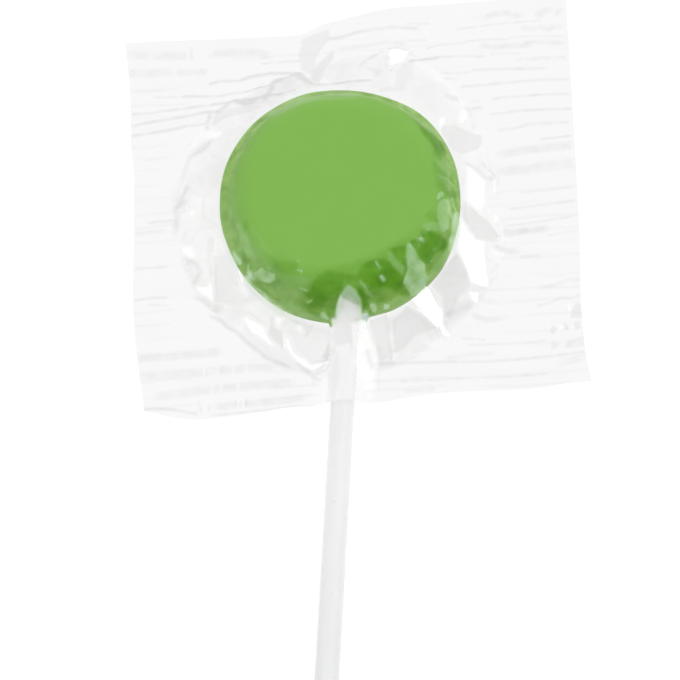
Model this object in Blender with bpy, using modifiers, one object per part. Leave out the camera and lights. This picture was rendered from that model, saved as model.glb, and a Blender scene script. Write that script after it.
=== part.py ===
"""A round flat fruit lollipop: a green boiled sweet on a straight white stick, sealed in a clear film wrapper.

It lies on its back, as it rests on a table, with the stick along -Y and the shown face up.
The wrapper is modelled as a closed solid of the bag's outer form, with the space for the sweet and
the stick left open at the mouth where the stick comes out. All sizes are in metres.
"""

import math

import bmesh
import bpy
from mathutils import Matrix

MM = 0.001

# Sweet: a disc with flat faces, rounded shoulders and a thin moulded band round its middle
SWEET_RADIUS = 18.0 * MM
SWEET_THICKNESS = 12.0 * MM
FACE_RADIUS = 12.6 * MM
SHOULDER_REACH = 4.1 * MM
SHOULDER_DROP = 4.2 * MM
SHOULDER_END = math.radians(76)
SHOULDER_POINTS = 6
BAND_GROOVE_RADIUS = 16.5 * MM
BAND_HALF_HEIGHT = 1.9 * MM
BAND_EDGE = 0.7 * MM
SWEET_STEPS = 64
# The poured rim isn't quite round: it swells by this much, and by these waves (count, height, phase)
SWEET_SWELL = 0.3 * MM
SWEET_WAVES = ((1, 0.3, 80), (2, 0.2, 149), (3, 0.15, 103), (4, 0.09, -153), (5, 0.09, -146))

# Mouth in the sweet's rim where the stick goes in
MOUTH_RADIUS = 2.2 * MM
MOUTH_SHIFT = 0.1 * MM
MOUTH_DEPTH = 3.4 * MM
MOUTH_FLARE = 1.7
MOUTH_TIP = 0.9 * MM
TIP_SHIFT = 0.25 * MM

# Stick
STICK_RADIUS = 1.8 * MM
STICK_LENGTH = 76.0 * MM
STICK_DEPTH = 16.0 * MM
STICK_OFFSET = 2.0 * MM
STICK_EDGE = 0.25 * MM
STICK_SIDES = 24

# Fit between the pieces
CLEARANCE = 0.3 * MM
FILM_WALL = 0.4 * MM
MID_Z = SWEET_THICKNESS / 2 + CLEARANCE + FILM_WALL

# Sealed sheet round the sweet, turned a little against the stick
FILM_TURN = math.radians(7.0)
FILM_LEFT = -30.75 * MM
FILM_RIGHT = 34.7 * MM
FILM_BOTTOM = -30.3 * MM
FILM_TOP = 28.3 * MM
SHEET_THICKNESS = 0.6 * MM
CRIMP_PITCH = 2.2 * MM
CRIMP_HEIGHT = 0.18 * MM
SHEET_COLUMNS = 16
CORNER_LIFT = 1.1 * MM

# Pocket that bulges over the sweet, and the tunnel that it opens into round the stick
POCKET_RADIUS = 24.7 * MM
POCKET_WAVES = ((1, 1.3, -74), (2, 0.7, 149), (3, 0.5, -166), (4, 0.8, -73), (5, 0.5, -24))
POCKET_SEGMENTS = 48
POCKET_SHOULDER = 17.2 * MM
FOLD_HEIGHT = 0.85 * MM
TUNNEL_HALF_WIDTH = 5.2 * MM
TUNNEL_START = -15.0 * MM
TUNNEL_END = -31.5 * MM

# Tuck folded over at the top edge
TUCK_WIDTH = 5.6 * MM
TUCK_LENGTH = 8.6 * MM
TUCK_HEIGHT = 0.5 * MM
TUCK_AT = (-4.6 * MM, 23.0 * MM)
TUCK_TURN = math.radians(-14)


def clear_scene():
    for old in list(bpy.data.objects):
        bpy.data.objects.remove(old, do_unlink=True)


def new_collection(name):
    collection = bpy.data.collections.new(name)
    bpy.context.scene.collection.children.link(collection)
    return collection


def principled(name, colour, roughness, transmission=0.0, alpha=1.0):
    material = bpy.data.materials.new(name)
    material.use_nodes = True
    shader = material.node_tree.nodes["Principled BSDF"]
    shader.inputs["Base Color"].default_value = (*colour, 1.0)
    shader.inputs["Roughness"].default_value = roughness
    shader.inputs["Metallic"].default_value = 0.0
    shader.inputs["Transmission Weight"].default_value = transmission
    shader.inputs["Alpha"].default_value = alpha
    return material


def add_object(name, mesh, collection, material=None):
    obj = bpy.data.objects.new(name, mesh)
    collection.objects.link(obj)
    if material:
        mesh.materials.append(material)
    return obj


def as_cutter(obj):
    obj.hide_render = True
    obj.display_type = "WIRE"
    return obj


def mesh_from(bm, name):
    mesh = bpy.data.meshes.new(name)
    bmesh.ops.recalc_face_normals(bm, faces=bm.faces)
    bm.to_mesh(mesh)
    bm.free()
    return mesh


def join(obj, other, operation):
    modifier = obj.modifiers.new(f"{operation.title()} {other.name}", "BOOLEAN")
    modifier.operation = operation
    modifier.object = other
    return modifier


def smooth(obj, degrees=35):
    obj.data.shade_smooth()
    obj.data.set_sharp_from_angle(angle=math.radians(degrees))


def ease(value):
    value = min(max(value, 0.0), 1.0)
    return value * value * (3 - 2 * value)


def bump(value):
    """1 at 0, falling smoothly to 0 at -1 and 1."""
    return ease(1 - abs(value))


def swell(angle):
    """How far the sweet's rim stands out of a true circle at that angle."""
    out = SWEET_SWELL
    for count, height, phase in SWEET_WAVES:
        out += height * MM * math.cos(count * angle - math.radians(phase))
    return out


def half_profile(grow):
    """The upper half of the sweet's turned outline, from the axis to the rim, made larger by grow."""
    points = [(0.0, SWEET_THICKNESS / 2 + grow)]
    for step in range(SHOULDER_POINTS):
        angle = SHOULDER_END * step / (SHOULDER_POINTS - 1)
        out = FACE_RADIUS + (SHOULDER_REACH + grow) * math.sin(angle)
        up = SWEET_THICKNESS / 2 + grow - (SHOULDER_DROP + grow) * (1 - math.cos(angle))
        points.append((out, up))
    if grow == 0:
        points.append((BAND_GROOVE_RADIUS, BAND_HALF_HEIGHT + 0.25 * MM))
        points.append((BAND_GROOVE_RADIUS + 0.35 * MM, BAND_HALF_HEIGHT))
    points.append((SWEET_RADIUS + grow - BAND_EDGE, BAND_HALF_HEIGHT + grow))
    points.append((SWEET_RADIUS + grow, BAND_HALF_HEIGHT + grow - BAND_EDGE))
    return points


def turned_disc(name, grow, steps, collection, material=None):
    """A disc of the half outline and its mirror image, swept round with the rim's swell."""
    upper = half_profile(grow)
    profile = upper + [(out, -up) for out, up in reversed(upper)]
    last = len(profile) - 1
    bm = bmesh.new()
    bmesh.ops.create_grid(bm, x_segments=steps, y_segments=last, size=0.5)
    for vert in bm.verts:
        angle = 2 * math.pi * (vert.co.x + 0.5)
        out, up = profile[round((vert.co.y + 0.5) * last)]
        out *= 1 + swell(angle) / SWEET_RADIUS
        vert.co = (out * math.cos(angle), out * math.sin(angle), up)
    bmesh.ops.remove_doubles(bm, verts=bm.verts, dist=0.00001)
    disc = add_object(name, mesh_from(bm, name), collection, material)
    disc.location = (0.0, 0.0, MID_Z)
    return disc


def rod(name, radius, start, end, sides, collection, material=None):
    """A cylinder along Y from start to end, on the stick's axis."""
    bm = bmesh.new()
    bmesh.ops.create_cone(
        bm,
        cap_ends=True,
        segments=sides,
        radius1=radius,
        radius2=radius,
        depth=abs(end - start),
        matrix=Matrix.Rotation(math.radians(90), 4, "X"),
    )
    obj = add_object(name, mesh_from(bm, name), collection, material)
    obj.location = (STICK_OFFSET, (start + end) / 2, MID_Z)
    return obj


def make_sweet(collection, cutters, material):
    sweet = turned_disc("candy", 0.0, SWEET_STEPS, collection, material)

    # The rim's two corners at the mouth: the left one is drawn out to a small point
    bm = bmesh.new()
    bmesh.ops.create_cone(
        bm,
        cap_ends=True,
        segments=10,
        radius1=1.3 * MM,
        radius2=0.15 * MM,
        depth=2.4 * MM,
        matrix=Matrix.Rotation(math.radians(90), 4, "X"),
    )
    tip = as_cutter(add_object("mouth_tip", mesh_from(bm, "mouth_tip"), cutters))
    tip_x = STICK_OFFSET + MOUTH_SHIFT - MOUTH_RADIUS - TIP_SHIFT
    tip.location = (tip_x, -SWEET_RADIUS + 1.2 * MM - MOUTH_TIP, MID_Z)
    tip.scale = (1.25, 1.0, 1.0)
    join(sweet, tip, "UNION")

    bm = bmesh.new()
    bmesh.ops.create_cone(
        bm,
        cap_ends=True,
        segments=28,
        radius1=MOUTH_RADIUS,
        radius2=MOUTH_RADIUS,
        depth=SWEET_THICKNESS * 1.2,
    )
    for vert in bm.verts:
        if vert.co.y < -0.01 * MM:
            vert.co.y *= 2.4
            vert.co.x *= MOUTH_FLARE if vert.co.x > 0 else 1.0
    mouth = as_cutter(add_object("mouth", mesh_from(bm, "mouth"), cutters))
    mouth.location = (STICK_OFFSET + MOUTH_SHIFT, -SWEET_RADIUS + MOUTH_DEPTH - MOUTH_RADIUS, MID_Z)
    join(sweet, mouth, "DIFFERENCE")

    bore_end = -SWEET_RADIUS + STICK_DEPTH + CLEARANCE
    bore = rod("bore", STICK_RADIUS + CLEARANCE, bore_end, -SWEET_RADIUS - 5 * MM, 24, cutters)
    as_cutter(bore)
    join(sweet, bore, "DIFFERENCE")
    smooth(sweet)
    return sweet


def make_stick(collection, material):
    start = -SWEET_RADIUS + STICK_DEPTH
    stick = rod("stick", STICK_RADIUS, start, start - STICK_LENGTH, STICK_SIDES, collection, material)
    edge = stick.modifiers.new("Softened ends", "BEVEL")
    edge.width = STICK_EDGE
    edge.segments = 2
    edge.limit_method = "ANGLE"
    edge.angle_limit = math.radians(60)
    smooth(stick, 50)
    return stick


def sheet_left(share):
    belly = 1.05 * MM * bump((share - 0.25) / 0.35)
    nips = 0.3 * MM * bump((share - 0.87) / 0.15) + 0.2 * MM * bump((share - 0.64) / 0.08)
    return FILM_LEFT - belly + nips


def sheet_right(share):
    nip = 0.35 * MM * bump((share - 0.2) / 0.2)
    corner = 0.5 * MM * ease(1 - share / 0.08)
    return FILM_RIGHT + 2.05 * MM * share - nip + corner


def sheet_bottom(u):
    sag = 1.7 * MM * bump((u / MM + 23) / 9) + 0.85 * MM * bump((u / MM + 15.5) / 7)
    dip = 1.0 * MM * bump((u / MM + 5) / 22) + 0.35 * MM * bump((u / MM - 4) / 6)
    corners = 0.6 * MM * ease((u / MM - 26) / 7) + 0.3 * MM * ease((-u / MM - 28) / 3)
    return FILM_BOTTOM - sag - dip + corners


def sheet_top(u):
    step = 1.6 * MM * ease((u / MM + 5) / 5.5)
    rise = 2.3 * MM * ease((u / MM + 3) / 15)
    return FILM_TOP + step + rise


def corner_lift(u, v):
    """The sheet's free corners curl a little out of its plane."""
    far = ease((math.hypot(u, v) - 25 * MM) / (16 * MM))
    return CORNER_LIFT * far * math.sin(3.1 * math.atan2(v, u) + 0.6)


def make_sheet(collection, material):
    """The two films sealed to one crimped sheet."""
    rows = 2 * round((FILM_TOP - FILM_BOTTOM) / CRIMP_PITCH)
    bm = bmesh.new()
    bmesh.ops.create_grid(bm, x_segments=SHEET_COLUMNS, y_segments=rows, size=0.5)
    for vert in bm.verts:
        across = vert.co.x + 0.5
        along = vert.co.y + 0.5
        row = round(along * rows)
        u = sheet_left(along) + (sheet_right(along) - sheet_left(along)) * across
        v = sheet_bottom(u) + (sheet_top(u) - sheet_bottom(u)) * along
        crimp = CRIMP_HEIGHT * (1 if row % 2 else -1)
        crimp *= 0.3 + 0.7 * ease((math.hypot(u, v) - 23 * MM) / (6 * MM))
        vert.co = (u, v, corner_lift(u, v) + crimp)
    sheet = add_object("wrapper", mesh_from(bm, "wrapper"), collection, material)
    sheet.rotation_euler = (0.0, 0.0, FILM_TURN)
    sheet.location = (0.0, 0.0, MID_Z)
    shell = sheet.modifiers.new("Both films", "SOLIDIFY")
    shell.thickness = SHEET_THICKNESS
    shell.offset = 0.0
    return sheet


def pocket_edge(angle):
    edge = POCKET_RADIUS
    for count, height, phase in POCKET_WAVES:
        edge += height * MM * math.cos(count * angle - math.radians(phase))
    return edge


def fold(segment, side):
    """How far a fold of the pocket stands up or down, from -1 to 1: it turns over at each segment."""
    uneven = math.sin(12.9898 * (segment % POCKET_SEGMENTS) + 4.1 * side) * 43758.5453
    size = 0.35 + 0.65 * (uneven - math.floor(uneven))
    return size if segment % 2 else -size


def pocket_point(ring, segment, side):
    """A point of the pocket's outer form: ring 0 is the middle and the last ring is the sealed edge."""
    angle = 2 * math.pi * segment / POCKET_SEGMENTS
    top = SWEET_THICKNESS / 2 + CLEARANCE + FILM_WALL
    flat = ((0.0, top), (FACE_RADIUS + 0.3 * MM, top), (15.4 * MM, 5.95 * MM), (POCKET_SHOULDER, 4.6 * MM))
    wide = 1 + swell(angle) / SWEET_RADIUS
    if ring < len(flat):
        out, up = flat[ring]
        out *= wide
    else:
        share = (ring - len(flat) + 1) / 3
        edge = pocket_edge(angle)
        out = POCKET_SHOULDER * wide + (edge - POCKET_SHOULDER * wide) * share
        up = 4.54 * MM * (1 - share) ** 1.2 + 0.06 * MM
        up += FOLD_HEIGHT * fold(segment, side) * math.sin(math.pi * share) * (1.3 - 0.9 * share)
    return out * math.cos(angle), out * math.sin(angle), side * up


def make_pocket(cutters):
    rings = 7
    bm = bmesh.new()
    for side in (1, -1):
        half = bmesh.new()
        bmesh.ops.create_grid(half, x_segments=POCKET_SEGMENTS, y_segments=rings, size=0.5)
        for vert in half.verts:
            segment = round((vert.co.x + 0.5) * POCKET_SEGMENTS)
            ring = round((vert.co.y + 0.5) * rings)
            if ring < rings:
                vert.co = pocket_point(ring, segment, side)
            else:
                x, y, _ = pocket_point(ring - 1, segment, side)
                vert.co = (1.01 * x, 1.01 * y, 0.0)
        piece = bpy.data.meshes.new("half")
        half.to_mesh(piece)
        half.free()
        bm.from_mesh(piece)
        bpy.data.meshes.remove(piece)
    bmesh.ops.remove_doubles(bm, verts=bm.verts, dist=0.00001)
    pocket = as_cutter(add_object("pocket", mesh_from(bm, "pocket"), cutters))
    pocket.location = (0.0, 0.0, MID_Z)
    return pocket


def make_tunnel(cutters):
    """The film drawn over the stick, from inside the pocket to the sheet's lower edge."""
    bm = bmesh.new()
    bmesh.ops.create_cone(
        bm,
        cap_ends=True,
        segments=14,
        radius1=1.0,
        radius2=1.0,
        depth=TUNNEL_START - TUNNEL_END,
        matrix=Matrix.Rotation(math.radians(90), 4, "X"),
    )
    high = STICK_RADIUS + CLEARANCE + FILM_WALL
    for vert in bm.verts:
        at_mouth = vert.co.y < 0
        vert.co.x *= TUNNEL_HALF_WIDTH * (0.86 if at_mouth else 1.25)
        vert.co.z *= high * (1.04 if at_mouth else 1.35)
        if at_mouth:
            vert.co.y += vert.co.x * math.tan(FILM_TURN)
    tunnel = as_cutter(add_object("tunnel", mesh_from(bm, "tunnel"), cutters))
    tunnel.location = (STICK_OFFSET, (TUNNEL_START + TUNNEL_END) / 2, MID_Z)
    return tunnel


def make_tuck(cutters):
    bm = bmesh.new()
    bmesh.ops.create_cube(bm, size=1.0)
    for vert in bm.verts:
        narrow = 0.8 if vert.co.y < 0 else 1.0
        vert.co = (vert.co.x * TUCK_WIDTH * narrow, vert.co.y * TUCK_LENGTH, vert.co.z * TUCK_HEIGHT)
    tuck = as_cutter(add_object("tuck", mesh_from(bm, "tuck"), cutters))
    tuck.location = (*TUCK_AT, MID_Z + SHEET_THICKNESS / 2 + 0.1 * MM)
    tuck.rotation_euler = (0.0, 0.0, TUCK_TURN)
    return tuck


def make_wrapper(collection, cutters, material):
    wrapper = make_sheet(collection, material)
    for added in (make_pocket(cutters), make_tunnel(cutters), make_tuck(cutters)):
        join(wrapper, added, "UNION")

    space = as_cutter(turned_disc("sweet_space", CLEARANCE, 48, cutters))
    join(wrapper, space, "DIFFERENCE")

    bm = bmesh.new()
    bmesh.ops.create_uvsphere(bm, u_segments=12, v_segments=8, radius=MOUTH_TIP + 1.0 * MM)
    tip_space = as_cutter(add_object("tip_space", mesh_from(bm, "tip_space"), cutters))
    tip_space.location = (STICK_OFFSET - MOUTH_RADIUS - 0.3 * MM, -SWEET_RADIUS, MID_Z)
    join(wrapper, tip_space, "DIFFERENCE")

    stick_space = rod("stick_space", STICK_RADIUS + CLEARANCE, -16.0 * MM, -38.0 * MM, 24, cutters)
    as_cutter(stick_space)
    join(wrapper, stick_space, "DIFFERENCE")
    return wrapper


def main():
    clear_scene()
    lollipop = new_collection("fruit_lollipop")
    cutters = new_collection("cutters")
    cutters.hide_render = True

    green = principled("green_boiled_sweet", (0.16, 0.42, 0.05), 0.12)
    white = principled("white_stick", (0.86, 0.86, 0.85), 0.45)
    clear = principled("clear_film", (0.93, 0.94, 0.94), 0.08, transmission=0.6, alpha=0.35)

    make_sweet(lollipop, cutters, green)
    make_stick(lollipop, white)
    make_wrapper(lollipop, cutters, clear)


main()
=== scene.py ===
"""Looks of the wrapped fruit lollipop: sweet, stick and clear crumpled film, on a plain white floor."""

import math

import bmesh
import bpy
import numpy as np
from mathutils import Matrix, Vector, geometry


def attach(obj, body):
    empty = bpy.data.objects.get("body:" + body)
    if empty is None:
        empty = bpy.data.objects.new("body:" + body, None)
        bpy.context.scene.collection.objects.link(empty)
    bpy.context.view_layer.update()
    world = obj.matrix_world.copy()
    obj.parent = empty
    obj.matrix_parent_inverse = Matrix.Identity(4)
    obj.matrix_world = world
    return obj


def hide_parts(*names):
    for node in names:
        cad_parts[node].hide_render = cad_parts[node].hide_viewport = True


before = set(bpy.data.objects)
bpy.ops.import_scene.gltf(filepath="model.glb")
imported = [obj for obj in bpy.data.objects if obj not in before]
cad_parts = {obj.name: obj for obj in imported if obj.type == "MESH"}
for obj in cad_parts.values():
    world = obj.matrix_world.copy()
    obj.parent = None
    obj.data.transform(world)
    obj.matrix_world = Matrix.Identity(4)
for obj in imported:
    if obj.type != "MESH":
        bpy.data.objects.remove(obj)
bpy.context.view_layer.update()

MM = 0.001

# sizes that the solids set, in millimetres
MID_Z = 6.7
SWEET_R, SWEET_T, FACE_R = 18.0, 12.0, 12.6
SHOULDER_A, SHOULDER_B = 4.1, 4.2
STICK_R, STICK_X, STICK_TOP, STICK_END = 1.8, 2.0, -2.0, -78.0
FILM_TURN = math.radians(7.0)
# the shown stick's radius and place, a little off the solid's, its bevel, and the radius of its bore
SHOWN_R, SHOWN_X, END_BEVEL, BORE_R = STICK_R - 0.05, STICK_X + 0.04, 0.22, 1.85
# the lamps' ways from the sweet, how far they are, and the camera's way and frame
RIGHT_WAY, LEFT_WAY, LAMP_FAR = (0.608, -0.023, 0.793), (-0.58, -0.06, 0.81), 900.0
VIEW_AZIMUTH, VIEW_ELEVATION = math.radians(3.1), math.radians(71.0)
VIEW_WIDTH, VIEW_LOW, LENS, SENSOR = 102.0, 20.02, 200.0, 36.0
# how far the rim is from a circle of SWEET_R: everywhere, and by waves as (count, height, phase in degrees)
SWELL, SWEET_WAVES = 0.3, ((1, 0.3, 80), (2, 0.2, 149), (3, 0.15, 103), (4, 0.09, -153), (5, 0.09, -146))


# helpers
def ease(t):
    """From 0 at t = 0 to 1 at t = 1, smooth at both ends."""
    t = np.clip(t, 0.0, 1.0)
    return t * t * (3 - 2 * t)


def bump(t):
    """1 at t = 0, and down to 0 at -1 and 1."""
    return ease(1 - np.abs(t))


def swell(angle):
    """How much wider than a true circle the sweet is at that angle, as a factor."""
    out = np.full_like(angle, SWELL)
    for count, height, phase in SWEET_WAVES:
        out += height * np.cos(count * angle - math.radians(phase))
    return 1 + out / SWEET_R


def own_object(name, mesh, solid):
    """Put a visual piece in the scene that rides on the root and replaces that solid."""
    obj = bpy.data.objects.new(name, mesh)
    bpy.context.scene.collection.objects.link(obj)
    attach(obj, "root")
    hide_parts(solid)


def grid_mesh(name, points, attributes, flip):
    """A mesh of quads over an array of points [rows, columns, 3] in millimetres."""
    rows, columns = points.shape[:2]
    index = np.arange(rows * columns).reshape(rows, columns)
    quads = np.stack([index[:-1, :-1], index[:-1, 1:], index[1:, 1:], index[1:, :-1]], axis=-1)
    quads = quads.reshape(-1, 4)
    if flip:
        quads = quads[:, ::-1]
    mesh = bpy.data.meshes.new(name)
    mesh.vertices.add(rows * columns)
    mesh.vertices.foreach_set("co", (points.reshape(-1) * MM).astype(np.float32))
    mesh.loops.add(len(quads) * 4)
    mesh.loops.foreach_set("vertex_index", quads.reshape(-1).astype(np.int32))
    mesh.polygons.add(len(quads))
    mesh.polygons.foreach_set("loop_start", np.arange(0, len(quads) * 4, 4, dtype=np.int32))
    mesh.update(calc_edges=True)
    mesh.validate()
    for key, values in attributes.items():
        layer = mesh.attributes.new(key, "FLOAT", "POINT")
        layer.data.foreach_set("value", values.reshape(-1).astype(np.float32))
    mesh.shade_smooth()
    return mesh


def smooth_noise(x, y, size, seed):
    """A soft random field from -1 to 1 with lumps about that size across."""
    local = np.random.default_rng(seed)
    count = 40
    total = np.zeros_like(x)
    for _ in range(count):
        angle = local.uniform(0, 2 * math.pi)
        wave = 2 * math.pi / (size * local.uniform(1.2, 3.0))
        total += np.sin((x * math.cos(angle) + y * math.sin(angle)) * wave + local.uniform(0, 7))
    return total / math.sqrt(count)


def facet_noise(x, y, size, seed, flat=False):
    """Facets of about that size at random tilts, from -1 to 1, like crumpled film, or with a level each."""
    local = np.random.default_rng(seed)
    span, stray = 44.0, 0.42
    steps = int(2 * span / size)
    points = []
    for i in range(steps + 1):
        for j in range(steps + 1):
            px = -span + size * (i + local.uniform(-stray, stray))
            py = -span + size * (j + local.uniform(-stray, stray))
            points.append((px, py))
    heights = local.uniform(-1, 1, len(points))
    verts, _, faces, origin, _, _ = geometry.delaunay_2d_cdt([Vector(p) for p in points], [], [], 0, 1e-5)
    level = np.zeros(x.size)
    fx, fy = x.reshape(-1), y.reshape(-1)
    order = np.argsort(fx)
    sorted_x = fx[order]
    for face in faces:
        (ax, ay), (bx, by), (cx, cy) = (verts[i] for i in face)
        first = np.searchsorted(sorted_x, min(ax, bx, cx))
        last = np.searchsorted(sorted_x, max(ax, bx, cx))
        area = (bx - ax) * (cy - ay) - (cx - ax) * (by - ay)
        if first == last or abs(area) < 1e-9:
            continue
        ids = order[first:last]
        px, py = fx[ids], fy[ids]
        wb = ((px - ax) * (cy - ay) - (cx - ax) * (py - ay)) / area
        wc = ((bx - ax) * (py - ay) - (px - ax) * (by - ay)) / area
        inside = (wb >= 0) & (wc >= 0) & (wb + wc <= 1)
        a, b, c = (heights[origin[i][0]] for i in face)
        if flat:
            level[ids[inside]] = (a + b + c) / 1.7
        else:
            level[ids[inside]] = a * (1 - wb[inside] - wc[inside]) + b * wb[inside] + c * wc[inside]
    return level.reshape(x.shape)


def along_line(x, y, points):
    """How far each place is from a line of points, and how far along the line that is, from 0 to 1."""
    best = np.full_like(x, 1e9)
    share = np.zeros_like(x)
    lengths = [math.dist(a, b) for a, b in zip(points, points[1:])]
    total, done = sum(lengths), 0.0
    for (ax, ay), (bx, by), length in zip(points, points[1:], lengths):
        dx, dy = (bx - ax) / length, (by - ay) / length
        t = np.clip((x - ax) * dx + (y - ay) * dy, 0, length)
        away = np.hypot(x - ax - dx * t, y - ay - dy * t)
        near = away < best
        best = np.where(near, away, best)
        share = np.where(near, (done + t) / total, share)
        done += length
    return best, share


def inside_panel(x, y, corners):
    """How far inside a polygon each place is, in millimetres: negative outside."""
    away = np.full_like(x, 1e9)
    inside = np.zeros(x.shape, bool)
    for (ax, ay), (bx, by) in zip(corners, corners[1:] + corners[:1]):
        length = math.dist((ax, ay), (bx, by))
        dx, dy = (bx - ax) / length, (by - ay) / length
        t = np.clip((x - ax) * dx + (y - ay) * dy, 0, length)
        away = np.minimum(away, np.hypot(x - ax - dx * t, y - ay - dy * t))
        crosses = (ay > y) != (by > y)
        slope = (bx - ax) / (by - ay) if by != ay else 0.0
        inside ^= crosses & (x < ax + (y - ay) * slope)
    return np.where(inside, away, -away)


# materials
def new_material(name):
    material = bpy.data.materials.new(name)
    material.use_nodes = True
    tree = material.node_tree
    tree.nodes.clear()
    out = tree.nodes.new("ShaderNodeOutputMaterial")
    return material, tree, out


def fill(tree, sockets, values):
    """Set each socket to its value, or link it where the value is another node's socket."""
    for socket, value in zip(sockets, values):
        if isinstance(value, bpy.types.NodeSocket):
            tree.links.new(value, socket)
        elif value is not None:
            socket.default_value = value


def node(tree, kind, **values):
    """A shader node with those properties and sockets, whose names have _ for a space."""
    made = tree.nodes.new(kind)
    for key, value in values.items():
        socket = made.inputs.get(key.replace("_", " "))
        if socket is None:
            setattr(made, key, value)
        else:
            fill(tree, [socket], [value])
    return made


def maths(tree, operation, a, b=None, clamp=False):
    made = node(tree, "ShaderNodeMath", operation=operation, use_clamp=clamp)
    fill(tree, made.inputs, (a, b))
    return made.outputs[0]


def mix_colour(tree, factor, a, b):
    made = node(tree, "ShaderNodeMix", data_type="RGBA")
    fill(tree, (made.inputs[0], made.inputs[6], made.inputs[7]), (factor, a, b))
    return made.outputs[2]


def mix_shader(tree, factor, under, over):
    made = node(tree, "ShaderNodeMixShader")
    fill(tree, made.inputs, (factor, under.outputs[0], over.outputs[0]))
    return made


def reading(tree, name):
    """What the mesh says there under that name."""
    return node(tree, "ShaderNodeAttribute", attribute_name=name).outputs["Fac"]


def noise(tree, place, scale, detail, roughness=0.5):
    made = node(tree, "ShaderNodeTexNoise", Vector=place, Scale=scale, Detail=detail, Roughness=roughness)
    return made.outputs[0]


def grey(level):
    return level, level, level, 1


def film_material():
    """Clear gloss film, tinted clearer by painted light or darker by painted shade, with milky haze, painted
    pale highlights and grey lines of painted shade along creases over it.
    """
    material, tree, out = new_material("clear_film")

    def plain(colour):
        return node(tree, "ShaderNodeBsdfPrincipled", Base_Color=colour, Roughness=0.4)

    tone = reading(tree, "tone")
    # painted light makes the film clearer, painted shade tints it darker
    light = maths(tree, "MAXIMUM", tone, 0.0)
    dark = maths(tree, "MAXIMUM", maths(tree, "MULTIPLY", tone, -1.0), 0.0)
    facing = node(tree, "ShaderNodeLayerWeight", Blend=0.5).outputs["Facing"]
    share = maths(tree, "ADD", maths(tree, "MULTIPLY", maths(tree, "POWER", facing, 4.0), 0.8), 0.03)
    share = maths(tree, "ADD", share, maths(tree, "MULTIPLY", light, 0.06))
    still = maths(tree, "MULTIPLY", reading(tree, "still"), 0.025)
    share = maths(tree, "SUBTRACT", share, still, clamp=True)
    tint = mix_colour(tree, dark, mix_colour(tree, light, grey(0.981), grey(1.0)), grey(0.86))
    clear = node(tree, "ShaderNodeBsdfTransparent", Color=tint)
    gloss = node(tree, "ShaderNodeBsdfGlossy", Color=grey(1.0), Roughness=0.1)
    # milky film lets the light through to what is under it
    passing = node(tree, "ShaderNodeLightPath").outputs["Is Shadow Ray"]
    milk = plain((0.915, 0.917, 0.915, 1))
    haze = mix_shader(tree, passing, milk, node(tree, "ShaderNodeBsdfTransparent"))
    # painted highlights: a pale green-white mixed over the film, whiter where they are strong
    gleam = reading(tree, "gleam")
    paler = maths(tree, "MULTIPLY", maths(tree, "SUBTRACT", gleam, 0.3), 2.2, clamp=True)
    pale = mix_colour(tree, paler, (0.57, 0.87, 0.44, 1), (0.74, 0.90, 0.82, 1))
    # painted shade along creases: grey mixed over the film
    crease = maths(tree, "MULTIPLY", reading(tree, "crease"), 0.32, clamp=True)
    whole = mix_shader(tree, share, clear, gloss)
    for factor, over in ((reading(tree, "haze"), haze), (gleam, plain(pale)), (crease, plain(grey(0.42)))):
        whole = mix_shader(tree, factor, whole, over)
    fill(tree, [out.inputs["Surface"]], whole.outputs)
    return material


def sweet_material():
    """Green boiled sugar: an even face, a mottled rim painted lighter, and painted shade of deeper green low
    on the shown side.
    """
    material, tree, out = new_material("green_boiled_sweet")
    place = node(tree, "ShaderNodeTexCoord").outputs["Object"]
    fleck = noise(tree, place, 520.0, 2.0)
    spots = maths(tree, "MULTIPLY", maths(tree, "SUBTRACT", fleck, 0.36), 3.4, clamp=True)
    mottle = noise(tree, place, 420.0, 4.0, 0.6)
    face = mix_colour(tree, mottle, (0.236, 0.49, 0.086, 1), (0.246, 0.505, 0.092, 1))
    # the rim's colour is mottled, and painted lighter: painted light on sides that turn away from the light
    edge = mix_colour(tree, spots, (0.235, 0.46, 0.084, 1), (0.35, 0.58, 0.145, 1))
    # painted shade: the deeper green of the shoulder's lower side
    dark = mix_colour(tree, spots, (0.098, 0.298, 0.013, 1), (0.142, 0.372, 0.023, 1))
    colour = mix_colour(tree, reading(tree, "rim"), face, edge)
    colour = mix_colour(tree, reading(tree, "deep_shade"), colour, dark)
    cloud = noise(tree, place, 130.0, 2.0)
    relief = node(tree, "ShaderNodeBump", Strength=0.12, Distance=0.0002, Height=cloud)
    shader = node(tree, "ShaderNodeBsdfPrincipled", Base_Color=colour, Normal=relief.outputs[0],
                  Roughness=0.36, Specular_IOR_Level=0.06, Subsurface_Weight=0.15,
                  Subsurface_Radius=(0.6, 1.0, 0.3), Subsurface_Scale=0.0015)
    fill(tree, [out.inputs["Surface"]], shader.outputs)
    return material


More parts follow.
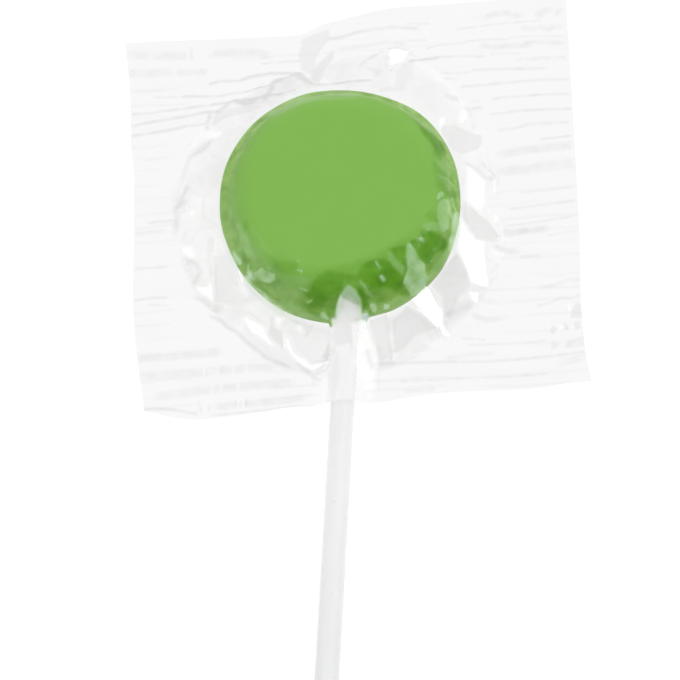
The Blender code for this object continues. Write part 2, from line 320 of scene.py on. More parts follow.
def stick_material():
    """Satin white rolled paper with faint fibres and a few specks, painted light on its flanks and painted
    shade towards its free end.
    """
    material, tree, out = new_material("white_stick")
    place = node(tree, "ShaderNodeTexCoord").outputs["Object"]
    stretched = node(tree, "ShaderNodeMapping", Vector=place, Scale=(900.0, 60.0, 900.0)).outputs[0]
    fibre = noise(tree, stretched, 1.0, 3.0)
    base = mix_colour(tree, fibre, (0.82, 0.822, 0.822, 1), (0.87, 0.87, 0.867, 1))
    split = node(tree, "ShaderNodeSeparateXYZ", Vector=place)
    # painted light: the flanks are painted lighter, so they look as light as the middle, though they are
    # turned away from the light
    aside = maths(tree, "SUBTRACT", split.outputs["X"], STICK_X * MM)
    for turn, power, part, level in ((-560.0, 2.0, 0.9, 0.96), (560.0, 3.0, 0.7, 0.94)):
        flank_painted_light = maths(tree, "POWER", maths(tree, "MULTIPLY", aside, turn, clamp=True), power)
        base = mix_colour(tree, maths(tree, "MULTIPLY", flank_painted_light, part), base, grey(level))
    # painted shade: a little greyer towards the free end, where less light falls
    low = maths(tree, "SUBTRACT", -0.042, split.outputs["Y"])
    base = mix_colour(tree, maths(tree, "MULTIPLY", low, 28.0, clamp=True), base, (0.81, 0.812, 0.812, 1))
    few = maths(tree, "GREATER_THAN", noise(tree, place, 700.0, 1.0), 0.74)
    colour = mix_colour(tree, maths(tree, "MULTIPLY", few, 0.5), base, (0.64, 0.63, 0.61, 1))
    relief = node(tree, "ShaderNodeBump", Strength=0.25, Distance=0.0001, Height=fibre)
    shader = node(tree, "ShaderNodeBsdfPrincipled", Base_Color=colour, Normal=relief.outputs[0],
                  Roughness=0.42, Subsurface_Weight=0.8, Subsurface_Radius=(1.0, 1.0, 1.0),
                  Subsurface_Scale=0.0012)
    fill(tree, [out.inputs["Surface"]], shader.outputs)
    return material


# sweet
def half_profile(inner, outer, bend, rim):
    """One half of the turned outline, from its middle to the rim: how many points on each stretch."""
    line = [(r, SWEET_T / 2) for r in (*np.linspace(0.0, 7.5, inner), *np.linspace(8.0, FACE_R, outer)[:-1])]
    for angle in np.linspace(0, math.radians(62), bend):
        down = SHOULDER_B * (1 - math.cos(angle))
        line.append((FACE_R + SHOULDER_A * math.sin(angle), SWEET_T / 2 - down))
    turns = ((16.5, 3.2), (16.7, 2.75), (16.95, 2.4), (17.25, 2.15), (17.5, 1.95), (17.72, 1.65),
             (17.9, 1.2))
    return line + [*turns[::rim], (SWEET_R, 0.6)]


def sweet_profile():
    """The turned outline from the top's middle to the bottom's, as (radius, height) in millimetres."""
    shown, back = half_profile(5, 15, 17, 1), half_profile(4, 3, 9, 2)
    return shown + [(SWEET_R, 0.0)] + [(r, -z) for r, z in reversed(back)]


# where the even face ends below and at the sides, in millimetres
FACE_EDGE = ((-15.4, 1.2), (-15.1, -1.5), (-14.7, -3.9), (-13.1, -8.4), (-11.2, -9.7), (-7.8, -10.8),
     (-2.5, -12), (2.5, -10.9), (7.1, -8.4), (11.1, -5.5), (13.5, -2), (14, 2.5), (13.4, 5.4), (12.5, 8),
     (10.2, 11.9), (7, 17.5), (-6, 17.5), (-13.5, 10), (-15.4, 5))

# the mouth's outline seen from above, cut out of the sweet
ARCH = ((0.3, -21), (0.35, -17.3), (0.5, -16.7), (0.7, -16.2), (0.9, -15.8), (1.2, -15.4), (1.55, -14.95),
     (1.85, -14.7), (2.2, -14.6), (2.6, -14.75), (3.05, -15), (3.4, -15.3), (3.75, -15.7), (4, -16.1),
     (4.1, -16.7), (4.25, -17.05), (4.6, -17.45), (5.2, -18.2), (5.4, -21))

# painted shade: places where the shown side is painted deeper green, how much deeper, and their outlines
SHADE_PATCHES = (
    (1.0, (3.2, -12.9), (3.5, -12), (4.7, -10.7), (5.8, -10.3), (7.1, -10.2), (8.1, -10.9), (9.1, -11.7),
     (9.8, -12.1), (10.1, -12.7), (10.2, -13.1), (10, -13.6), (9.5, -14.1), (8.8, -14.2), (7.3, -14),
     (5.8, -14.4), (4.9, -14.8), (4, -13.9)),
    (0.95, (7.8, -8.6), (9.2, -8.1), (10.2, -8), (10.2, -8.9), (10.4, -10.3), (10.5, -11), (9.9, -10.9),
     (9.1, -10.3), (8.4, -9.5)),
    (1.0, (11, -7), (11.9, -6.7), (12.3, -5.6), (13.4, -5.3), (15.3, -5.3), (16.1, -5.5), (16.1, -6.2),
     (15.4, -7.2), (14.6, -8.4), (13.8, -9.3), (13, -9.7), (12.3, -9.1), (11.3, -8.3), (10.7, -7.5)),
    (0.9, (3.3, -14.4), (4, -14.4), (4.6, -15.1), (5.2, -15.5), (5.2, -15.8), (4.9, -16.4), (4.3, -16.6),
     (3.9, -15.9), (3.3, -15.1)),
    (0.7, (8.8, -14.1), (10.2, -13.1), (11, -13.9), (10.5, -14.4), (9.5, -14.3)),
    (0.35, (13, -2.7), (13.6, -2.1), (14.3, -2.5), (14.5, -3.7), (13.7, -3.6), (12.8, -3.2)),
    (0.6, (15.7, 1.5), (16.6, 2.6), (17.4, 2.9), (17.9, 2.8), (17.7, 1.5), (16.8, 1.3), (16.1, 1.2)),
    (0.82, (-3.6, -15.2), (-3.2, -14.3), (-2.3, -13.2), (-1.2, -12.4), (0.3, -12.5), (2.3, -12.9),
     (3.7, -12.6), (3.8, -14.2), (2.9, -13.9), (1.5, -14.1), (1, -15.1), (0, -15.8), (-0.8, -16.5),
     (-1.6, -17.1), (-3.2, -17), (-4.1, -16.1), (-4.7, -15.6)),
    (0.6, (-6.1, -16.4), (-4.7, -15.7), (-3.9, -16.3), (-3.2, -17.1), (-4.6, -17.1), (-5.9, -16.7)),
    (0.5, (-9.3, -11.8), (-7.8, -11.3), (-6.1, -11.3), (-5.6, -11.9), (-6.3, -12.7), (-7.1, -13.2),
     (-7.9, -13.2), (-8.8, -12.6)),
    (0.75, (-11.5, -13.4), (-10.5, -13.4), (-9, -13.9), (-8.5, -13.7), (-8.1, -13.7), (-8.3, -14.1),
     (-9.6, -14.1), (-11.2, -13.7)),
    (0.7, (-14.4, -9.2), (-13.7, -9.2), (-13.1, -10.3), (-13.3, -11), (-13.9, -10.4)),
    (0.4, (-14.1, -5.3), (-13.5, -5.2), (-13.3, -6.1), (-13.7, -6.3), (-14, -5.8)),
    (0.8, (10.7, 12.7), (11.4, 12.5), (13, 11), (14.3, 10.4), (14.9, 10.5), (15.3, 8.6), (14.5, 6.7),
     (13.6, 7), (13.3, 8.9), (11.8, 10.4)),
    (0.35, (13.7, 5.6), (14.6, 4.9), (16.3, 4.5), (17.5, 3), (16.7, 1.3), (15.7, 1), (14.3, 1.9)),
)


def placed(name, bm):
    """An object in the scene from that bmesh, with its faces turned outwards."""
    bmesh.ops.recalc_face_normals(bm, faces=bm.faces)
    mesh = bpy.data.meshes.new(name)
    bm.to_mesh(mesh)
    bm.free()
    obj = bpy.data.objects.new(name, mesh)
    bpy.context.scene.collection.objects.link(obj)
    return obj


def turned_body():
    """The profile turned round, a little wider or narrower from place to place as the sweet is."""
    steps = 300
    turn = np.arange(steps) * 360 / steps
    wide = swell(np.radians(turn))
    # the rim draws in a little to the right of the mouth
    wide -= (0.25 * bump((turn - 288) / 12) + 0.4 * ease((286.5 - turn) / 4) * (turn > 276)) / SWEET_R
    bm = bmesh.new()
    rings = []
    for r, z in sweet_profile():
        if r == 0:
            rings.append([bm.verts.new((0, 0, z))])
            continue
        ring = []
        for k in range(steps):
            a = 2 * math.pi * k / steps
            wobble = 0.04 * math.sin(7 * a + z) + 0.03 * math.sin(13 * a + 2) if r > 15 else 0.0
            out = r * wide[k] + wobble
            ring.append(bm.verts.new((out * math.cos(a), out * math.sin(a), z)))
        rings.append(ring)
    for first, second in zip(rings, rings[1:]):
        for k in range(steps):
            after = (k + 1) % steps
            if len(first) == 1:
                bm.faces.new((first[0], second[k], second[after]))
            elif len(second) == 1:
                bm.faces.new((first[k], second[0], first[after]))
            else:
                bm.faces.new((first[k], second[k], second[after], first[after]))
    return placed("sweet_body", bm)


def cone_along_stick(name, sides, front, back, length, squash, x, y):
    """A cone or bar along Y: its radii at both ends, its length, how it is widened in X, and its middle."""
    bm = bmesh.new()
    bmesh.ops.create_cone(bm, cap_ends=True, segments=sides, radius1=front, radius2=back, depth=length,
                          matrix=Matrix.Rotation(math.radians(90), 4, "X"))
    for vert in bm.verts:
        vert.co.x *= squash
        vert.co += Vector((x, y, 0))
    return placed(name, bm)


def mouth_cutter():
    """A block with the mouth's outline, higher than the sweet is thick."""
    bm = bmesh.new()
    reach = 0.6 * SWEET_T
    low, high = ([bm.verts.new((x, y, level)) for x, y in ARCH] for level in (-reach, reach))
    bm.faces.new(low)
    bm.faces.new(high)
    for k in range(len(ARCH)):
        after = (k + 1) % len(ARCH)
        bm.faces.new((low[k], low[after], high[after], high[k]))
    return placed("mouth", bm)


def painted_sweet_shading(x, y, z):
    """Painted shade: how much deeper the green is, in clouds low on the shoulder, more to the lower right,
    and even over the face; and how far out the rim is, where it is painted lighter.
    """
    r = np.hypot(x, y) / swell(np.arctan2(y, x))
    lump = smooth_noise(x, y, 2.0, 3)
    out = -inside_panel(x, y, FACE_EDGE)
    # painted shade: the shoulder is painted darker low down and to the right, where less light fell on it
    deep_shade = (0.15 + 0.29 * ease((x + 6) / 6) + 0.08 * lump) * ease(out / 1.6 + 0.3) * ease((-y - 2) / 8)
    deep_shade *= 1 - 0.55 * ease((r - 16.8) / 0.8)
    for share, *corners in SHADE_PATCHES:
        depth = inside_panel(x, y, corners) + 0.1 * lump
        deep_shade = np.maximum(deep_shade, share * ease(depth / 0.8 + 0.62) * (z > -4))
    return deep_shade, ease((r - 15.6) / 0.7)


def make_sweet():
    """The shown sweet: the turned body with its drawn-out tip, less the mouth and the stick's bore."""
    body = turned_body()
    tip = cone_along_stick("tip", sides=20, front=1.25, back=0.28, length=2.4, squash=1.25,
                           x=STICK_X - 2.1, y=0.1 - SWEET_R)
    mouth = mouth_cutter()
    bore = cone_along_stick("bore", sides=40, front=BORE_R, back=BORE_R, length=24.0, squash=1.0,
                            x=STICK_X, y=STICK_TOP + 0.1 - 12.0)
    for other, operation in ((tip, "UNION"), (mouth, "DIFFERENCE"), (bore, "DIFFERENCE")):
        modifier = body.modifiers.new(other.name, "BOOLEAN")
        modifier.object = other
        modifier.operation = operation
    graph = bpy.context.evaluated_depsgraph_get()
    mesh = bpy.data.meshes.new_from_object(body.evaluated_get(graph))
    for old in (body, tip, mouth, bore):
        bpy.data.objects.remove(old)

    co = np.empty(len(mesh.vertices) * 3, np.float32)
    mesh.vertices.foreach_get("co", co)
    co = co.reshape(-1, 3).astype(float)
    for key, values in zip(("deep_shade", "rim"), painted_sweet_shading(*co.T)):
        layer = mesh.attributes.new(key, "FLOAT", "POINT")
        layer.data.foreach_set("value", values.astype(np.float32))
    co[:, 2] += MID_Z
    mesh.vertices.foreach_set("co", (co * MM).reshape(-1).astype(np.float32))
    mesh.shade_smooth()
    mesh.set_sharp_from_angle(angle=math.radians(40))
    mesh.name = "sweet_visual"
    own_object("sweet_visual", mesh, "candy")
    mesh.materials.clear()
    mesh.materials.append(sweet_material())


# stick
def stick_point(bm, radius, angle, y):
    """A corner of the stick that many millimetres from its axis."""
    x, z = SHOWN_X + radius * math.cos(angle), MID_Z + radius * math.sin(angle)
    return bm.verts.new((x * MM, y * MM, z * MM))


def make_stick():
    """The shown stick, with slight dents, a seam along it, and ends of rolled paper."""
    ends = [0.0, 0.08, 0.25, 0.6]
    ys = [STICK_TOP - t for t in ends] + list(np.linspace(STICK_TOP - 2, STICK_END + 2, 90))
    ys += [STICK_END + t for t in reversed(ends)]
    sides = 48
    turns = [2 * math.pi * k / sides for k in range(sides)]
    bm = bmesh.new()
    rings = []
    for y in ys:
        near = min(abs(y - STICK_TOP), abs(y - STICK_END))
        r = SHOWN_R - END_BEVEL * (1 - min(near / 0.25, 1.0)) ** 2
        ring = []
        for a in turns:
            nick = 0.012 * math.sin(5 * a + y * 0.9) + 0.01 * math.sin(y * 2.3 + 2 * a)
            seam = -0.05 * math.exp(-(((a - 0.9) / 0.06) ** 2))
            ring.append(stick_point(bm, r + nick + seam, a, y))
        rings.append(ring)

    def join(first, second):
        for k in range(sides):
            after = (k + 1) % sides
            bm.faces.new((first[k], first[after], second[after], second[k]))

    for first, second in zip(rings, rings[1:]):
        join(first, second)
    # both ends show the rolled paper: rings that step in by turns
    for last, y, inward in ((rings[0], STICK_TOP, -1), (rings[-1], STICK_END, 1)):
        for step in range(1, 7):
            r = (STICK_R - END_BEVEL) * (1 - step / 7)
            new = [stick_point(bm, r, a, y + 0.06 * (step % 2) * inward) for a in turns]
            join(last, new)
            last = new
        bm.faces.new(last)
    bmesh.ops.recalc_face_normals(bm, faces=bm.faces)
    mesh = bpy.data.meshes.new("stick_visual")
    bm.to_mesh(mesh)
    bm.free()
    mesh.shade_smooth()
    mesh.set_sharp_from_angle(angle=math.radians(50))
    own_object("stick_visual", mesh, "stick")
    mesh.materials.append(stick_material())


# film
# the pocket's edge: its mean radius, and how far it is from a circle, by waves as in SWEET_WAVES
POCKET_R = 24.7
POCKET_WAVES = ((1, 1.3, -74), (2, 0.7, 149), (3, 0.5, -166), (4, 0.8, -73), (5, 0.5, -24))


def pocket_edge(angle):
    """How far from the middle the sealed pocket ends at that angle."""
    edge = np.full_like(angle, POCKET_R)
    for count, height, phase in POCKET_WAVES:
        edge += height * np.cos(count * angle - math.radians(phase))
    return edge


def sheet_place(across, along):
    """A place of the sheet in its own frame, from its shares across and along."""
    left = -30.75 - 1.05 * bump((along - 0.25) / 0.35)
    left += 0.3 * bump((along - 0.87) / 0.15) + 0.2 * bump((along - 0.64) / 0.08)
    right = 34.7 + 2.05 * along - 0.35 * bump((along - 0.2) / 0.2) + 0.5 * ease(1 - along / 0.08)
    u = left + (right - left) * across
    bottom = -30.3 - 1.7 * bump((u + 23) / 9) - 0.85 * bump((u + 15.5) / 7) - 1.0 * bump((u + 5) / 22)
    bottom += 0.6 * ease((u - 26) / 7) + 0.3 * ease((-u - 28) / 3) - 0.35 * bump((u - 4) / 6)
    top = 28.3 + 1.6 * ease((u + 5) / 5.5) + 2.3 * ease((u + 3) / 15)
    return u, bottom + (top - bottom) * along


def sweet_top(r):
    """Height of the sweet's surface over its middle, as film drawn over it meets it."""
    t = np.clip((r - FACE_R) / SHOULDER_A, 0, 0.96)
    shoulder = SWEET_T / 2 - SHOULDER_B * (1 - np.sqrt(1 - t * t))
    band = np.where(r < 18.1, 2.0 - 0.9 * ease((r - 17.2) / 0.8), -5.0)
    return np.where(r < 16.5, shoulder, band)


# creases of the shown film with painted shade along them: darkness, half width, and the places it runs
# through, in millimetres
CREASES = (
    (0.45, 0.4, (20.5, 32.1), (21.2, 32.5), (22.6, 32.9), (24.1, 33)),
    (0.3, 0.45, (24.6, 32.5), (26, 32.6)),
    (0.4, 0.5, (28.4, 32.6), (29.3, 33.3), (30.3, 33.7)),
    (0.4, 0.4, (31.1, 33), (31.8, 33.6)),
    (0.45, 0.14, (16.2, 30), (19.3, 30.5)),
    (0.4, 0.14, (19.8, 30.6), (21.3, 30.9), (23.8, 31.2), (25.4, 31.4), (28.7, 31.8)),
    (0.35, 0.35, (26.2, 30.5), (27.9, 30.4), (28.9, 30.7), (30.2, 30.3), (30.9, 30.8), (32.2, 30.9)),
    (0.5, 0.17, (11.8, 26.4), (13.4, 27.1), (17.1, 27.7), (18.5, 28.1), (19.9, 28.3), (23.4, 28.5)),
    (0.3, 0.14, (23.4, 28.5), (25.7, 29), (32.3, 29.3)),
    (0.4, 0.4, (20, 27.4), (21.7, 27.1), (24.4, 27.5), (27.3, 27.6)),
    (0.42, 0.25, (26.7, 28.1), (29.4, 28.2), (32.5, 28.1)),
    (0.95, 0.2, (9.2, 23.9), (11, 24.5), (12.7, 24.8), (13.7, 25.1)),
    (0.5, 0.17, (13.6, 25.1), (15.4, 25.3), (18.5, 25.5), (20.6, 25.5)),
    (0.3, 0.14, (21.5, 25.7), (22.1, 26.1), (25.9, 26.1)),
    (0.4, 0.3, (25.6, 25.2), (27.4, 25.2), (29, 25.5), (31.8, 25.7), (32.9, 25.6)),
    (0.45, 0.15, (14.2, 22.5), (16.8, 22.6), (18.4, 22.9)),
    (0.5, 0.2, (18.9, 23.2), (21.7, 23.5), (24.6, 23.6), (29.9, 23.8)),
    (0.4, 0.2, (14.7, 21.4), (16.5, 21.7)),
    (0.5, 0.2, (17.3, 20.4), (18.9, 20.6), (21.8, 21), (24.7, 21.4), (28.3, 21.8), (33.6, 22.1)),
    (0.55, 0.17, (21.9, 18.6), (23.7, 18.9), (26.6, 19.2), (29.9, 19.5), (33.7, 19.7)),
    (0.5, 0.2, (21.9, 16.1), (23.7, 16.4), (26.8, 16.9), (30.4, 17.1), (34, 17.3)),
    (0.35, 0.2, (8.5, 30.5), (12, 30.7)),
    (0.35, 0.2, (8.7, 27.6), (11.5, 27.9)),
    (0.35, 0.2, (18.9, 18.1), (20.1, 18.2)),
    (0.4, 0.25, (17.8, 16.7), (19.1, 16.9), (20.6, 17.2)),
    (0.2, 0.4, (14.9, 18.1), (15.8, 18.1), (17.1, 18.3)),
    (0.34, 0.56, (-33.4, 22.3), (-30.4, 22.5)),
    (0.42, 0.56, (-29.8, 22.6), (-27.3, 22.8), (-24.5, 23)),
    (0.45, 0.2, (-24, 24.2), (-23.8, 22.6)),
    (0.32, 0.56, (-33, 19.5), (-29.6, 19.8), (-26.8, 20.1)),
    (0.35, 0.5, (-25.8, 20.1), (-23.6, 20.4), (-21.4, 20.6)),
    (0.37, 0.56, (-20.6, 23.5), (-18.9, 23.9), (-16, 24.2), (-13.9, 24.3), (-12, 23.9)),
    (0.45, 0.16, (-13.2, 22.5), (-11.8, 22.8), (-7.3, 23.3)),
    (0.7, 0.18, (-20.9, 18.7), (-19.4, 19.3), (-16.5, 19.5)),
    (0.95, 0.22, (-16.5, 19.5), (-14.6, 20.3), (-11.8, 21), (-9, 21.2), (-7.1, 21)),
    (0.9, 0.2, (-7.3, 20.9), (-5.2, 18.5), (-3.2, 18.3), (0.5, 19), (3.7, 19.4)),
    (0.95, 0.42, (-11.6, 19), (-10.8, 19.7), (-9.9, 19.9)),
    (0.9, 0.2, (-10.1, 19.8), (-9, 20.4), (-7.5, 20.8)),
    (0.95, 0.35, (-11.2, 18.7), (-11.7, 17.1), (-12.3, 15.7)),
    (0.5, 0.18, (-19, 16.9), (-16.9, 17.5), (-15.4, 17.7)),
    (0.85, 0.17, (-15.4, 17.7), (-13.4, 18.4), (-11.7, 18.6)),
    (0.4, 0.14, (-29.1, 15.9), (-26.2, 16.2), (-24.5, 16.4)),
    (0.85, 0.17, (-24.7, 16.4), (-23.2, 16.6), (-21.2, 16.7)),
    (0.5, 0.17, (-21.2, 16.7), (-18.9, 16.9)),
    (0.3, 0.17, (-32.1, 16.6), (-30.4, 16.7), (-27.8, 17.1)),
    (0.6, 0.18, (-32.1, 13), (-29.3, 13.4), (-27.4, 13.9), (-24.8, 14.4), (-21.8, 15.1), (-20.2, 15.4)),
    (0.95, 0.2, (-20.4, 15.4), (-18.1, 15.8), (-16.6, 16.1)),
    (0.95, 0.42, (-16.6, 15.9), (-15.1, 15.3), (-13.6, 15.7)),
    (0.95, 0.25, (-17, 16.1), (-14.4, 16.1), (-12.9, 16.4), (-11.4, 16.7), (-9.6, 16.7)),
    (0.65, 0.2, (-32, 11.1), (-30.5, 11.6), (-28.8, 12.1), (-25.5, 12.9)),
    (0.7, 0.2, (-25.5, 12.9), (-23.3, 13.5), (-21.4, 14.1), (-19.5, 14.3)),
    (0.85, 0.25, (-19.5, 14.2), (-18.3, 15.1), (-17.5, 15.8)),
    (0.7, 0.2, (-31.8, 9.6), (-28.8, 10.3), (-27.4, 10.6), (-25.6, 11.1), (-23.9, 11.7)),
    (0.5, 0.18, (-23.9, 11.7), (-22.4, 11.9), (-21.2, 12.2)),
    (0.65, 0.3, (-20.4, 13.8), (-20.7, 12.4), (-20.8, 11.3)),
    (0.4, 0.58, (-28.7, -25.3), (-22.7, -24.8), (-16.6, -24)),
    (0.4, 0.58, (-28.5, -28.2), (-19.6, -27.3), (-10.6, -26.1), (-8.5, -26)),
    (0.4, 0.58, (-25.2, -31.2), (-17.9, -30), (-10.5, -28.9), (-5.7, -28.2)),
    (0.36, 0.5, (-16.4, -32.6), (-10.3, -31.7), (-7.1, -31.2), (-3.9, -30.5)),
    (0.5, 0.14, (-17.5, -32.3), (-17.5, -33.4)),
    (0.5, 0.14, (-19.2, -31.9), (-18.9, -32.7), (-18.6, -33.6)),
    (0.5, 0.14, (-13.7, -31.3), (-13.6, -32.4)),
    (0.5, 0.14, (-12.2, -31.1), (-12.1, -32.2)),
    (0.4, 0.16, (30.1, -14), (31.7, -13.5), (33.4, -12.6), (34.5, -12.4), (35.4, -12.4), (36.6, -11.8)),
    (0.8, 0.35, (-8.2, 20.9), (-5.4, 18.7)),
    (0.5, 0.16, (-11.7, 16.9), (-9.9, 16.9), (-7.6, 17.5)),
    (0.6, 0.24, (-3.2, 27.2), (-1.5, 27.5), (1, 28.6), (3.9, 29.3), (6.6, 29.8), (10.4, 29.8)),
    (0.38, 0.32, (-1.4, 25.7), (1.6, 26.2), (5.8, 27.1), (8.3, 27.1)),
    (0.6, 0.24, (1.8, 22.2), (2.8, 23.5), (4, 24.6)),
    (0.3, 0.2, (4, 24.6), (5.2, 25.6)),
    (0.4, 0.22, (23.2, 13.6), (25.6, 14), (27.9, 14.7), (33.8, 15.1)),
    (0.7, 0.15, (29.5, 12.3), (34.2, 12.9)),
    (0.4, 0.55, (23.6, 9.6), (26.8, 10.4), (34.3, 11.5)),
    (0.35, 0.6, (23.8, 7), (27, 7.4), (30.7, 8.1), (34.7, 8.7)),
    (0.3, 0.16, (27, 3.7), (30.7, 4.2), (35, 4.9)),
    (0.4, 0.18, (25.4, 1), (28.8, 1.6), (35.1, 2.7)),
    (0.45, 0.18, (25, -1.8), (28.7, -1.1), (35.2, 0.3)),
    (0.5, 0.5, (24.5, -3.1), (27.6, -2.4), (30.9, -1.9)),
    (0.3, 0.16, (31.2, -2.9), (35.6, -2)),
    (0.4, 0.45, (23.4, -5.5), (25.4, -5.8), (27, -5.6)),
    (0.4, 0.2, (27.3, -6.7), (30.4, -6.1)),
    (0.35, 0.25, (30.4, -11.3), (32.7, -10.6), (34.7, -9.7), (36.5, -9.6)),
    (0.25, 0.4, (21.5, -13.7), (24.6, -14)),
    (0.35, 0.4, (20.6, -16.2), (22.7, -16.8), (25.8, -16.2)),
    (0.35, 0.18, (19.2, -19.9), (22.6, -19.9)),
    (0.35, 0.18, (20.1, -20.9), (27, -20.1), (31.6, -19.3)),
    (0.3, 0.3, (17.1, -23.1), (21.2, -22.2), (24, -21.8)),
    (0.5, 0.18, (7.1, -24.7), (12.7, -24.1), (23, -23.2), (28.2, -22.4), (37.8, -20.6)),
    (0.45, 0.2, (10.3, -27.1), (14.4, -26.7), (20.6, -25.9), (25.7, -25.4), (31.9, -24.4)),
    (0.35, 0.25, (11.2, -28.6), (15.5, -28)),
    (0.3, 0.5, (33.6, -22.8), (37.7, -21.3)),
    (0.5, 0.18, (-28.4, -4.2), (-26.7, -3.9), (-24.5, -3.6)),
    (0.4, 0.3, (-30.3, -6), (-28.3, -5.6), (-25.9, -5.3)),
    (0.35, 0.18, (-30, -11.5), (-25.2, -11)),
    (0.55, 0.18, (-29.7, -16.4), (-27.8, -16), (-24.9, -15.8)),
    (0.4, 0.22, (-27.5, -17), (-24.7, -17)),
    (0.6, 0.22, (-27.7, -33.4), (-25.5, -33.2), (-23.1, -33.2), (-19.3, -33.8)),
    (0.45, 0.18, (-17.1, -34), (-13.2, -33.4), (-9.2, -32.8), (-4.9, -32), (-1.8, -31.9)),
    (0.3, 0.35, (-20.2, 8.7), (-21.5, 7.4), (-23, 6.6)),
    (0.35, 0.25, (-23, 6.6), (-23.6, 4.5), (-24.1, 1.7)),
    (0.7, 0.3, (-23, 1.8), (-23.8, -0.4), (-24.6, -1.9)),
    (0.55, 0.3, (-23.3, -0.6), (-24.6, -1.7), (-24.3, -3.1), (-24.4, -5.9)),
    (0.4, 0.4, (-22.8, -9.8), (-21, -10.6), (-20.1, -11.7), (-21.1, -14)),
    (0.6, 0.25, (-21, -15.6), (-19.8, -16), (-18.5, -17)),
    (0.6, 0.5, (-18, -17.4), (-16.9, -17.4)),
    (0.6, 0.25, (-18.4, -18.4), (-16.6, -19.2), (-15.7, -20.1), (-14.3, -20.7), (-12.9, -22.1),
     (-9.5, -24.6), (-5.9, -26)),
    (0.5, 0.25, (-5.2, -25.2), (-2.9, -26.9), (-1.3, -27.9)),
    (0.7, 0.45, (-0.1, -22.9), (-1, -24.7)),
    (0.4, 0.4, (-18.9, -7.1), (-18.9, -9.5)),
    (0.45, 0.3, (18.5, 7.1), (20.3, 6.4), (21.6, 5.3), (22.9, 5.7)),
    (0.45, 0.2, (21, 7.9), (23.1, 6.1)),
    (0.5, 0.35, (16.7, -16.9), (18.5, -15.4), (20.2, -14.6)),
    (0.3, 0.25, (8.3, -18.6), (8.6, -21.9), (8.9, -24.1)),
    (0.4, 0.14, (7.9, 15.1), (9.9, 13.5), (12.7, 11.2), (15.2, 9), (16.7, 6.6), (17.5, 2.5)),
    (0.4, 0.14, (3.6, -14.2), (4.7, -14.8), (5.6, -15.8)),
)

# light nicks across the crimped bands, where the painted shade of the crimp lines is taken out
NICKS = (
    ((-18.7, -26.4), (-18.7, -27.9)), ((-16.7, -26.2), (-16.6, -27.7)), ((-14.4, -25.6), (-14.3, -27.2)),
    ((-12.5, -25.4), (-12.4, -27)), ((-17.3, -29.1), (-17.2, -30.9)), ((-16, -28.9), (-15.9, -30.7)),
    ((-13.5, -28.5), (-13.4, -30)), ((-19.8, -32), (-19.8, -33.4)), ((-24.9, -24.3), (-24.8, -25.9)),
    ((-12.6, -31.3), (-12.5, -32.8)), ((-13.4, -31.1), (-13.3, -32.7)), ((-30.2, 23.2), (-30, 21.6)),
    ((-24.5, 24.5), (-24.3, 22.3)), ((-26.5, 21), (-26.3, 19.5)), ((-21.1, 21.5), (-20.8, 19.9)),
)
